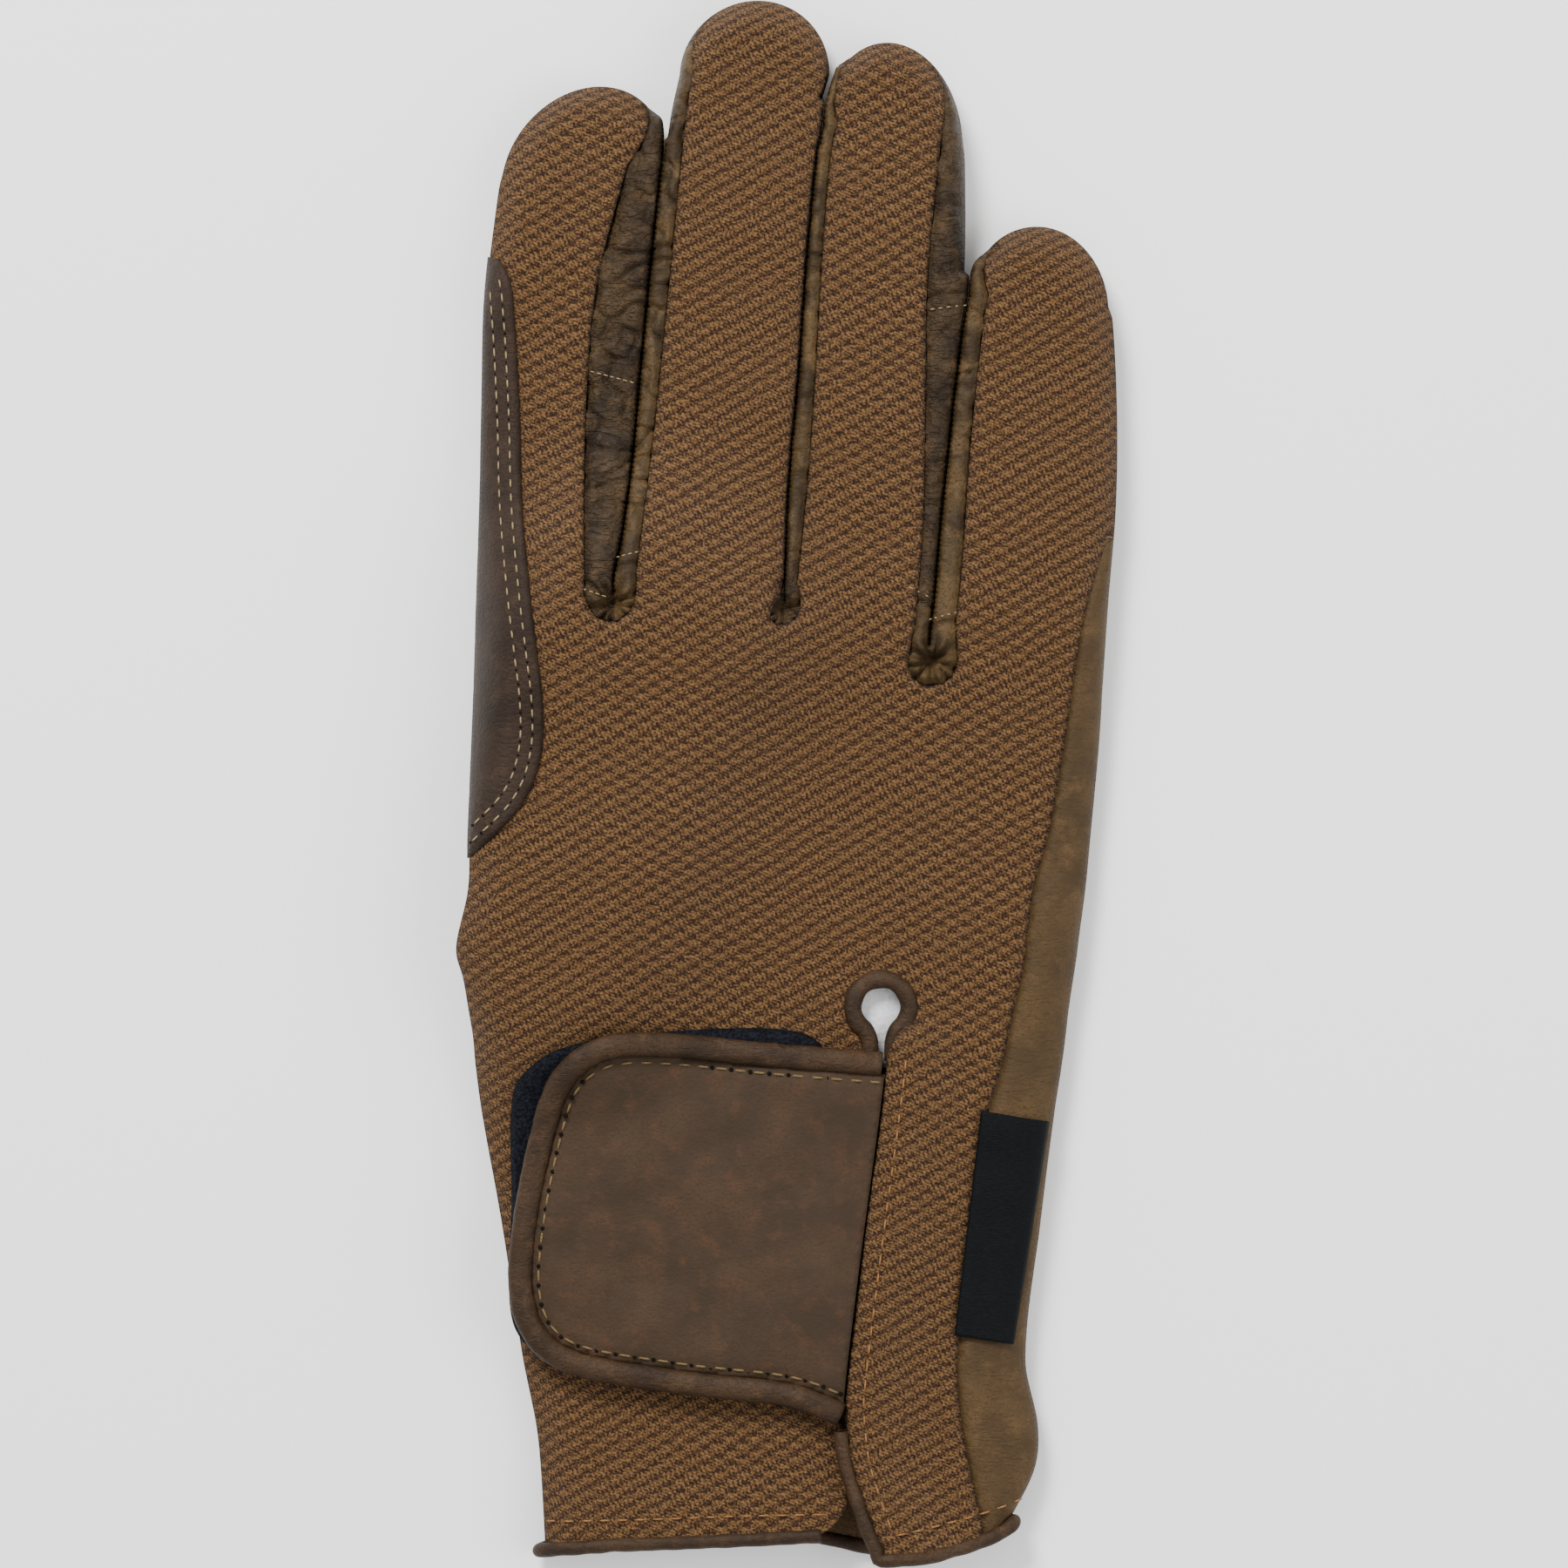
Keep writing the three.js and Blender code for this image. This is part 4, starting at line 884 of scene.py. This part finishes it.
# Hem heights at places across: left part, right part with the flap, and round underneath
hem = {
    "leftX": [-38.5, -27, -16, -6, 5, 8],
    "leftY": [-118.0, -117.0, -116.6, -116.2, -115.6, -115.4],
    "rightX": [9, 15, 21.5, 27.7, 31.5, 34.2],
    "rightY": [-119.0, -119.2, -118.9, -117.3, -116.0, -114.6],
    "palmY": [-115.9, -118.6, -118.9, -117.3, -116.0, -114.6],
    "lowX": [-38.5, -27, -16, -6, 4, 14, 21.5, 27.7, 31.5, 34.2],
    "lowY": [-118.1, -117.1, -116.7, -116.3, -116.2, -118.4, -118.9, -117.4, -116.1, -114.7],
    "rightEnd": 34.0,
    "roll": 1.12,
}


def hemLine(left, right, xs, ys):
    x = np.arange(left, right, 0.8)
    return stacked(x, np.interp(x, xs, ys))


def above(line, y):
    return line[line[:, 1] > y]


def below(line, y):
    return line[line[:, 1] < y]


# Back panel: knit over the hand and the upper side of the fingers
back = {"step": 0.85, "thick": 1.0, "keyholeGap": 0.4}
hemOnLeft = hemLine(-37.5, slitLeft[0, 0], hem["leftX"], hem["leftY"])
hemOnRight = hemLine(14.6, handSeam[0, 0] - 0.4, hem["rightX"], hem["rightY"])
leftUp = above(leftSide, hemOnLeft[0, 1] + 0.3)
seamUp = above(handSeam, hemOnRight[-1, 1] + 0.4)
backParts = [
    hemOnLeft,
    above(slitLeft, hemOnLeft[-1, 1] + 0.4),
    aroundKeyhole(keyhole["radius"] + back["keyholeGap"]),
    above(slitRight, -118.4)[::-1],
    hemOnRight,
    seamUp,
    above(sides[3][1], handSeam[-1, 1] + 0.5),
]
for k in (2, 1, 0):
    # Down the left side of one finger, round the fork and up the right side of the next
    down, seam, rise = sides[k + 1][0][::-1], seams[k + 1][0], seams[k][1]
    backParts.append(down[1 : np.searchsorted(-down[:, 1], -seam[-1, 1])])
    backParts += [seam[::-1], quirkLines[k][::-1], rise, above(sides[k][1], rise[-1, 1] + 0.2)]
backParts += [sides[0][0][::-1][1:], leftUp[::-1]]
backLoop = np.vstack(backParts)
layer("back_knit", backLoop, topZ, back, knit, "back_panel", "knit", onCloth=True)

# Gussets: creased leather between the fingers, gathered round each fork
gussets = {
    "step": 0.4,
    "thick": 0.9,
    "centre": 0.42,  # of the way from the fork to the lower end
    "folds": 9,
    "foldDepth": 0.95,
    "foldReach": 5.2,
    "dimple": 3.2,
    "dimpleSize": 1.4,
    "wrinkles": (0.85, 0.3, 0.45),  # depth at each fork
    "lowerEnd": (30, 35, 27),  # heights of the seams across
}


def gatherZ(k):
    fork = np.array([palmWidth * forkX[k + 1] + 0.1, hemY + handLength * forkAt[k + 1]])
    low = quirkLines[k][len(quirkLines[k]) // 2]
    centre = mix(fork, low, gussets["centre"])

    def height(points):
        z = topZ(points, True)
        out = points - centre
        radius = np.hypot(out[:, 0], out[:, 1])
        turn = np.arctan2(out[:, 1], out[:, 0])
        near = np.exp(-((radius / gussets["foldReach"]) ** 4))
        lower = ramp(-out[:, 1], -5.5, -1.5)
        folds = np.sin(turn * gussets["folds"] + 1.2 * np.sin(turn * 3 + k))
        z = z + (gussets["foldDepth"] * folds - 0.35) * near * lower * np.clip(radius / 2, 0, 1)
        z = z + 0.5 * bell(radius - 2.6, 1.5) * lower
        z = z - gussets["dimple"] * bell(radius, gussets["dimpleSize"])
        cross = nearest(points, crossLines, 4)[0]
        z = z - 0.45 * bell(cross, 0.45) + 0.18 * bell(cross - 1.0, 0.6)
        upper = ramp(points[:, 1], 34, 44)
        z = z + gussets["wrinkles"][k] * upper * creases(points, 6, 11 + k, (0.45, 1))
        return z + 0.16 * waves(points, 3.4, 21 + k) * upper

    return height


for k, name in enumerate(gussetNames):
    left, right = sides[k][1], sides[k + 1][0]
    loop = [quirkLines[k], seams[k + 1][0], below(right, seams[k + 1][0][-1, 1])[::-1]]
    if k == 1:
        loop.append(below(left, seams[1][1][0, 1]))
    else:
        loop += [below(left, seams[k][1][-1, 1]), seams[k][1][::-1]]
    piece, loop = name.replace("gusset", "fourchette"), np.vstack(loop)
    look = (gatherZ(k), gussets, leather["gusset"], name, "palm_leather")
    gusset, points, faces = layer(piece, loop, *look)
    # The side towards the little finger, the strip that rolls up beside the next finger, takes the
    # paler leather: painted highlight where it faces the light. The rest keeps the darker gusset
    # leather, painted shade in the clefts and round the forks. At the lower ends the paler leather
    # follows that side in the first gusset, is left out in the second and covers the whole end in
    # the third
    centres = points[faces].mean(1)
    paler = centres[:, 0] > np.interp(centres[:, 1], right[:, 1], right[:, 0])
    lowerPaler = (paler, paler & False, paler | True)[k]
    paler = np.where(centres[:, 1] < gussets["lowerEnd"][k], lowerPaler, paler)
    gusset.data.materials.append(leather["paler"])
    gusset.data.polygons.foreach_set("material_index", paler.astype(np.int32))

# Palm: leather underneath, and over the little-finger side to the knit's seam
palmLook = {"step": 1.5, "wrapStep": 1.0, "thick": 0.9, "wrinkle": 0.2, "swell": 0.12}


def palmZ(points):
    x, y = points[:, 0], points[:, 1]
    part = nearest(points, outline)[1]
    z = mix(sideZ(x, y), floorZ(x, y), np.minimum(1, roundOff(part) * 1.04))
    crease = 0.5 * creases(points, 30, 31) + 0.25 * np.abs(waves(points, 24, 33))
    return z + np.clip(-crease * 0.9, 0, 1) * roundOff(part)


def wrapZ(points):
    far = nearest(points, outline)[0]
    seamFar = distanceTo(handSeam, points, 12)
    inner = np.clip(seamFar / 3, 0, 1) * np.clip(far / 2, 0, 1)
    folds = palmLook["wrinkle"] * creases(points, 22, 41, (1, 0.6))
    return topZ(points, True) + (folds + palmLook["swell"] * waves(points, 14, 43)) * inner


def mergeDoubles(piece):
    bpy.ops.object.select_all(action="DESELECT")
    piece.select_set(True)
    bpy.context.view_layer.objects.active = piece
    bpy.ops.object.mode_set(mode="EDIT")
    bpy.ops.mesh.select_all(action="SELECT")
    bpy.ops.mesh.remove_doubles(threshold=0.00002)
    bpy.ops.object.mode_set(mode="OBJECT")


rightCorner = above(rightSide, -114.6)
wrapParts = [
    hemLine(handSeam[0, 0], hem["rightEnd"], hem["rightX"], hem["rightY"]),
    rightCorner,
    below(sides[3][1], handSeam[-1, 1]),
    seamUp[::-1],
]
points, faces, cloth = lookOver(np.vstack(wrapParts), palmLook["wrapStep"], wrapZ)
underParts = [
    hemOnLeft,
    hemLine(slitLeft[0, 0] + 0.5, hem["rightEnd"], hem["rightX"], hem["palmY"]),
    rightCorner,
]
for k in (3, 2, 1, 0):
    underParts += [sides[k][1], sides[k][0][::-1][1:]]
underParts.append(leftUp[::-1])
under, underFaces, cloth = lookOver(np.vstack(underParts), palmLook["step"], palmZ)
allFaces = np.vstack([faces, underFaces[:, ::-1] + len(points)])
palm = makeMesh("palm_hide", np.vstack([points, under]), allFaces, leather["palm"])
mergeDoubles(palm)
wall = palm.modifiers.new("wall", "SOLIDIFY")
wall.thickness = palmLook["thick"] * 0.001
wall.offset = -1
wall.material_offset = 1
palm.data.materials.append(fibre["suede"])
slotted(palm, "palm_panel")
print("palm", len(palm.data.vertices), len(allFaces))

# Thumb: flat leather tube folded under the palm
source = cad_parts["thumb"]
thumbPiece = source.copy()
thumbPiece.data = source.data.copy()
thumbPiece.name = "thumb_hide"
bpy.context.collection.objects.link(thumbPiece)
mergeDoubles(thumbPiece)
bpy.ops.object.shade_smooth_by_angle(angle=math.radians(50))
thumbPiece.data.materials.clear()
thumbPiece.data.materials.append(leather["palm"])
slotted(thumbPiece, "thumb")
print("thumb", len(thumbPiece.data.vertices))

# Reinforcement patch on the index side, its inner edge from the top down
patch = {
    "edge": [
        (-46.1, 81.2), (-43.9, 80.0), (-42.5, 77.2), (-41.9, 72.0), (-41.1, 58.0),
        (-40.6, 43.0), (-39.4, 30.0), (-38.2, 20.0), (-37.4, 13.0), (-37.4, 6.0),
        (-38.8, 0.0), (-41.2, -4.2), (-45.0, -8.2), (-49.9, -12.4),
    ],
    "low": -11.5,
    "high": 81.3,
    "step": 0.8,
    "thick": 0.75,
    "stitchesAt": (1.7, 3.5),
}
patchEdge = spline(patch["edge"], 0.7)
leftWhole = np.vstack([leftSide, sides[0][0]])
onLeft = below(above(leftWhole, patch["low"]), patch["high"])
leftX = np.interp(patchEdge[:, 1], leftWhole[:, 1], leftWhole[:, 0])
patchEdge = patchEdge[patchEdge[:, 0] > leftX + 0.2]
flat, faces = patchwork(np.vstack([patchEdge, onLeft]), patch["step"], outline)
z = topZ(flat)
far, part, away = outward(flat)
part = np.clip(part, 0, 1)
normal = stacked(away * (0.3 * (1 - part))[:, None], np.maximum(roundOff(part), 0.4))
edgeFar = distanceTo(patchEdge, flat, 9)
inset, insetNext = patch["stitchesAt"]
patchStitches = [beside(patchEdge, -inset)[6:-3], beside(patchEdge, -insetNext)[9:-6]]
rowFar = np.minimum(*(distanceTo(line, flat, 9) for line in patchStitches))
grow = 0.35 + 0.75 * roundOff(edgeFar / 0.8) - 0.28 * bell(rowFar, 0.55)
grow = grow + 0.12 * creases(flat, 9, 51, (0.6, 1)) * np.clip(edgeFar / 5 - 0.6, 0, 1)
outer = stacked(flat, z) + normal * grow[:, None]
inner = outer - normal * patch["thick"]
turned = np.vstack([faces[:, [0, 1]], faces[:, [1, 2]], faces[:, [2, 0]]])
known, count = np.unique(np.sort(turned, axis=1), axis=0, return_counts=True)
border = {tuple(e) for e in known[count == 1]}
size = len(flat)
rim = [(b, a, a + size, b + size) for a, b in turned if (min(a, b), max(a, b)) in border]
allFaces = faces.tolist() + (faces[:, ::-1] + size).tolist() + rim
patchPiece = makeMesh("patch_hide", np.vstack([outer, inner]), allFaces, leather["patch"])
slotted(patchPiece, "index_patch")
print("patch", len(flat))

# Loop pad under the strap
pad = {
    "edge": [
        (3, -88), (5.5, -60), (5.9, -41.5), (2.9, -38.6), (-15.5, -37.9), (-33.7, -40.3),
        (-38.6, -42.8), (-41.6, -46.2), (-42.4, -50), (-42.4, -63), (-41.8, -84), (-37, -88),
        (3, -88.2),
    ],
    "step": 1.0,
    "thick": 0.9,
    "high": 1.2,
}
padLoop = spline(pad["edge"], 0.8)[:-1]


def layerZ(x, y):
    return backZ(x, y, False) + 0.15


def padZ(points):
    edge = distanceTo(np.vstack([padLoop, padLoop[:1]]), points, 6)
    z = layerZ(points[:, 0], points[:, 1]) + 0.2 + pad["high"] * roundOff(edge / 0.6)
    return z + 0.1 * waves(points, 1.4, 61)


layer("loop_pile_pad", padLoop, padZ, pad, fibre["loops"], "loop_pad", "loop", None)

# Strap over the pad, its outer edge from the slit round to the slit
strap = {
    "edge": [
        (15.4, -41.3), (-2.6, -39.8), (-22.4, -38.1), (-28.6, -38.8), (-33.4, -41.4),
        (-36.8, -45.6), (-40.3, -57.2), (-42.7, -72.3), (-42.7, -78.5), (-41.3, -83.8),
        (-38.3, -87.9), (-33.4, -90.7), (-16.3, -93.8), (0.7, -95.9), (8.8, -99.2),
    ],
    "step": 0.9,
    "thick": 1.3,
    "high": 1.55,
    "rollWidth": 3.7,
    "rollHigh": 1.35,
    "stitchesAt": 1.0,
}
strapOuter = spline(strap["edge"], 0.8)
strapInner = beside(strapOuter, strap["rollWidth"] - 0.3)
strapStitches = beside(strapOuter, strap["rollWidth"] + strap["stitchesAt"])


def strapBase(x, y):
    padEnd = mix(3.0, 5.8, ramp(y, -88, -41))
    return layerZ(x, y) + 0.2 + 1.35 * (1 - ramp(x, padEnd + 1, padEnd + 9))


def strapZ(points):
    edge = distanceTo(strapInner, points, 20)
    row = distanceTo(strapStitches, points, 6)
    puff = 0.45 * (1 - np.exp(-edge / 7)) + 0.28 * waves(points, 34, 71)
    puff = puff + 0.05 * waves(points, 7, 72)
    groove = -0.5 * bell(edge, 0.7) - 0.26 * bell(row, 0.5)
    return strapBase(points[:, 0], points[:, 1]) + strap["high"] + puff * 0.9 + groove


faceEnd = below(above(slitRight, strapInner[-1, 1] + 0.5), strapInner[0, 1] - 0.5)
strapLoop = np.vstack([strapInner, faceEnd - [0.06, 0]])
strapLook = (strapZ, strap, leather["strap"], "closure_strap", "strap_leather")
layer("strap_hide", strapLoop, *strapLook, None)


def leftOfSlit(line, gap):
    return line[line[:, 0] < slitX("right", line[:, 1]) - gap]


rollLine = leftOfSlit(beside(strapOuter, strap["rollWidth"] / 2), 0.4)
rollZ = strapBase(rollLine[:, 0], rollLine[:, 1]) + 1.2
rollPath = stacked(rollLine, rollZ)
rollSize = (strap["rollWidth"] / 2, strap["rollHigh"])
roll("strap_roll", rollPath, rollSize, "strap_binding", 18, 0.012, 5)

# Keyhole binding, with its two tails down to the strap
tails = [
    np.array([[keyhole["x"] + beyond, y] for y in np.linspace(-42.6, -39.6, 5)])
    for beyond in keyhole["tails"]
]
ringLine = np.vstack([tails[0], aroundKeyhole(keyhole["radius"]), tails[1][::-1]])
ringLine = spline(resample(ringLine, 1.6), 0.35)
ringZ = backZ(ringLine[:, 0], ringLine[:, 1], False) - 0.2
ringSize = (keyhole["roll"], keyhole["rollHigh"])
roll("keyhole_roll", stacked(ringLine, ringZ), ringSize, "keyhole_binding", 16, 0.02, 8)

# Pale lining that lies close under the keyhole
wholeTurn = np.linspace(0, 2 * math.pi, 60, endpoint=False)
flat, faces = patchwork(aroundKeyhole(keyhole["lining"], wholeTurn), 1.0)
far = np.hypot(flat[:, 0] - keyhole["x"], flat[:, 1] - keyhole["y"])
z = backZ(flat[:, 0], flat[:, 1], False) - 2.3 - 0.03 * far**2 + 0.15 * waves(flat, 6, 91)
lining = makeMesh("keyhole_lining", stacked(flat, z), faces, fibre["lining"], None, 0.3)
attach(lining, "root")


# Hem binding: left part, round under the palm, right part and up the edge of the flap
def hemTop(x, y):
    spots = stacked(x, y + 1.6)
    return topZ(spots) - 0.45


def hemRun(start, end, xs, ys):
    x = np.arange(start, end, -1.2)
    y = np.interp(x, xs, ys) - 0.1
    return stacked(x, y, hemTop(x, y))


lowX = np.arange(-36.2, 33.0, 1.5)
lowY = np.interp(lowX, hem["lowX"], hem["lowY"])
leftTurn = sideZ(-38.0, -118.2)
flapHeights = np.arange(-117.8, -98.4, 1.4)
flapX = slitX("right", flapHeights) - 0.75
flapTop = backZ(flapX + 1.4, flapHeights) - 1.0
hemParts = [
    hemRun(5.2, -36.6, hem["leftX"], hem["leftY"]),
    np.array([[-38.1, -118.3, leftTurn + 0.4], [-38.0, -118.3, leftTurn - 1.6]]),
    stacked(lowX, lowY, np.full(len(lowX), 1.25)),
    np.array([[34.4, -114.2, 2.6], [34.9, -113.8, 4.6], [34.4, -114.4, 6.4]]),
    hemRun(33.2, 15.6, hem["rightX"], hem["rightY"]),
    np.array([[14.0, -119.2, flapTop[0] + 0.1]]),
    stacked(flapX, flapHeights, flapTop),
]
hemPath = spline(np.vstack(hemParts), 0.6)
roll("hem_roll", hemPath, (hem["roll"], hem["roll"]), "hem_binding", 14, 0.02, 12)

# Woven label over the side seam, blank
label = {
    "corners": np.array([(25.7, -84.9), (34.9, -86.3), (40.4, -52.1), (29.8, -50.3)]),
    "columns": 24,
    "rows": 70,
    "thick": 0.45,
    "high": 0.8,
}
columns, rows = label["columns"], label["rows"]
u, v = np.meshgrid(np.linspace(0, 1, columns), np.linspace(0, 1, rows))
u, v = u.ravel(), v.ravel()
weights = ((1 - u) * (1 - v), u * (1 - v), u * v, (1 - u) * v)
flat = sum(np.outer(weight, corner) for weight, corner in zip(weights, label["corners"]))
labelTop = mix(sideZ(*flat.T), backZ(*flat.T), roundOff(nearest(flat, outline)[1]))
labelTop = labelTop + label["high"] + 0.08 * waves(flat, 12, 81)
labelTop = labelTop - 0.25 * (np.exp(-u * 30) + np.exp(-(1 - u) * 30))
faces = [
    (j * columns + i, j * columns + i + 1, (j + 1) * columns + i + 1, (j + 1) * columns + i)
    for j in range(rows - 1)
    for i in range(columns - 1)
]
points = stacked(flat, labelTop)
tag = makeMesh("woven_tag", points, faces, fibre["tape"], None, label["thick"])
slotted(tag, "woven_label")
print("bindings and label made")

# Stitches: pitch, length and thickness in millimetres, and the width of the dark discs painted as
# shade in the needle holes
patchThread = {"pitch": 2.2, "length": 1.45, "thick": 0.27, "holes": 0.45}
strapThread = {"pitch": 2.95, "length": 2.1, "thick": 0.38, "holes": 0.75}
hemThread = {"pitch": 2.7, "length": 1.7, "thick": 0.3}
gussetThread = {"pitch": 1.1, "length": 0.7, "thick": 0.2}
threadAlong = np.linspace(-0.5, 0.5, 5)
threadTaper = [0.55, 0.95, 1.0, 0.95, 0.55]
threadArch = [-0.75, 0.2, 0.42, 0.2, -0.75]
threadSides = 6
holeSides = 8


def closedRings(start, ringCount, around):
    # Faces of one short closed tube, made of rings of points
    ring = range(around)
    made = [
        (start + j * around + i, start + j * around + (i + 1) % around,
         start + (j + 1) * around + (i + 1) % around, start + (j + 1) * around + i)
        for j in range(ringCount - 1)
        for i in ring
    ]
    made.append(tuple(start + i for i in reversed(ring)))
    made.append(tuple(start + (ringCount - 1) * around + i for i in ring))
    return made


def stitches(name, lines, material, height, pitch, length, thick, holes=None):
    # Small arched threads along lines on a surface; height gives the surface over a point. Given a
    # width in holes, each stitch also gets a dark disc at its needle hole, painted shade in the
    # hole
    threads, threadFaces, dots, dotFaces = [], [], [], []
    turns = np.linspace(0, 2 * math.pi, threadSides, endpoint=False)
    dotTurns = np.linspace(0, 2 * math.pi, holeSides, endpoint=False)
    for line in lines:
        spots = resample(line, pitch)
        way = np.gradient(spots[:, :2], axis=0)
        way /= np.linalg.norm(way, axis=1)[:, None]
        for spot, direction, level in zip(spots, way, height(spots[:, :2])):
            side = np.array([-direction[1], direction[0]])
            threadFaces += closedRings(len(threads), len(threadAlong), threadSides)
            for a, t, h in zip(threadAlong, threadTaper, threadArch):
                centre = np.array([*(spot[:2] + direction * a * length), level + h * thick])
                for turn in turns:
                    offset = side * math.cos(turn) * thick / 2 * t
                    threads.append(centre + [*offset, math.sin(turn) * thick / 2 * t])
            # A dark disc at the end of each stitch, painted shade in the needle hole
            if holes:
                end = np.array([*(spot[:2] + direction * pitch / 2), level])
                dotFaces += closedRings(len(dots), 2, holeSides)
                for lift, scale in ((-0.25, 1.0), (0.06, 0.9)):
                    for turn in dotTurns:
                        offset = np.array([math.cos(turn), math.sin(turn), 0]) * holes / 2 * scale
                        dots.append(end + offset + [0, 0, lift])
    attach(makeMesh(name, threads, threadFaces, material), "root")
    if holes:
        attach(makeMesh(name + "_hole_shade", dots, dotFaces, fibre["holes"]), "root")


def onSurface(lift, hide=False):
    return lambda spots: topZ(spots, hide) + lift


stitches("patch_stitches", patchStitches, fibre["cream"], onSurface(0.86), **patchThread)
strapRow = leftOfSlit(strapStitches, 1.3)
stitches("strap_stitches", [strapRow], fibre["olive"], lambda p: strapZ(p) + 0.06, **strapThread)
hemRows = [
    spline([(-36.2, -113.5), (-20.6, -113.1), (-5.8, -112.6), (4.6, -112.4)], 0.8),
    spline([(17.5, -115.3), (21.5, -114.5), (29.8, -112.4), (35.4, -110.5)], 0.8),
    stacked(slitRight[:, 0] + 3.0, slitRight[:, 1])[6:-2],
]
stitches("hem_stitches", hemRows, fibre["brown"], onSurface(0.12), **hemThread)
crossRows = [
    [(-29.9, 63.2), (-23.9, 61.6)],
    [(22.3, 72.8), (27.2, 73.4)],
    [(-25.9, 34.6), (-23.1, 35.3)],
    [(-30.9, 29.6), (-28.0, 28.6)],
    [(19.0, 30.0), (21.4, 28.8)],
    [(21.9, 25.2), (25.7, 26.2)],
]
crossRows = [np.array(row, float) for row in crossRows]
stitches("gusset_stitches", crossRows, fibre["paler"], onSurface(0.05, True), **gussetThread)
print("stitches made")

# Floor, light and camera
studio = {
    "floorSize": 6,
    "floorLow": 0.00008,
    "floorTone": 0.94,
    "skyStrength": 0.95,
    "key": {"place": (-0.4, 0.8, 0.9), "energy": 27, "size": 0.4},
    "fill": {"place": (0.8, -0.2, 0.8), "energy": 8, "size": 0.8},
    "lens": 200,
    "viewWidth": 0.2412,
    "centre": (-0.0005, -0.0001),
    "handHeight": 0.008,
}
bpy.ops.mesh.primitive_plane_add(size=studio["floorSize"], location=(0, 0, -studio["floorLow"]))
floor = bpy.context.object
floor.name = "floor"
paper, surface = newMaterial("pale_floor", 0.9, 0.5)[:2]
surface.inputs["Base Color"].default_value = (*[studio["floorTone"]] * 3, 1)
floor.data.materials.append(paper)

for name in ("key", "fill"):
    lamp = studio[name]
    light = bpy.data.lights.new(name, "AREA")
    light.energy, light.size = lamp["energy"], lamp["size"]
    holder = bpy.data.objects.new(name, light)
    holder.location = lamp["place"]
    holder.rotation_euler = (-Vector(lamp["place"])).to_track_quat("-Z", "Y").to_euler()
    bpy.context.collection.objects.link(holder)
world = bpy.data.worlds.new("studio")
world.use_nodes = True
world.node_tree.nodes["Background"].inputs["Color"].default_value = (1, 1, 1, 1)
world.node_tree.nodes["Background"].inputs["Strength"].default_value = studio["skyStrength"]
bpy.context.scene.world = world

camera = bpy.data.cameras.new("camera")
camera.lens = studio["lens"]
holder = bpy.data.objects.new("camera", camera)
high = studio["viewWidth"] * camera.lens / camera.sensor_width + studio["handHeight"]
holder.location = (*studio["centre"], high)
bpy.context.collection.objects.link(holder)
bpy.context.scene.camera = holder
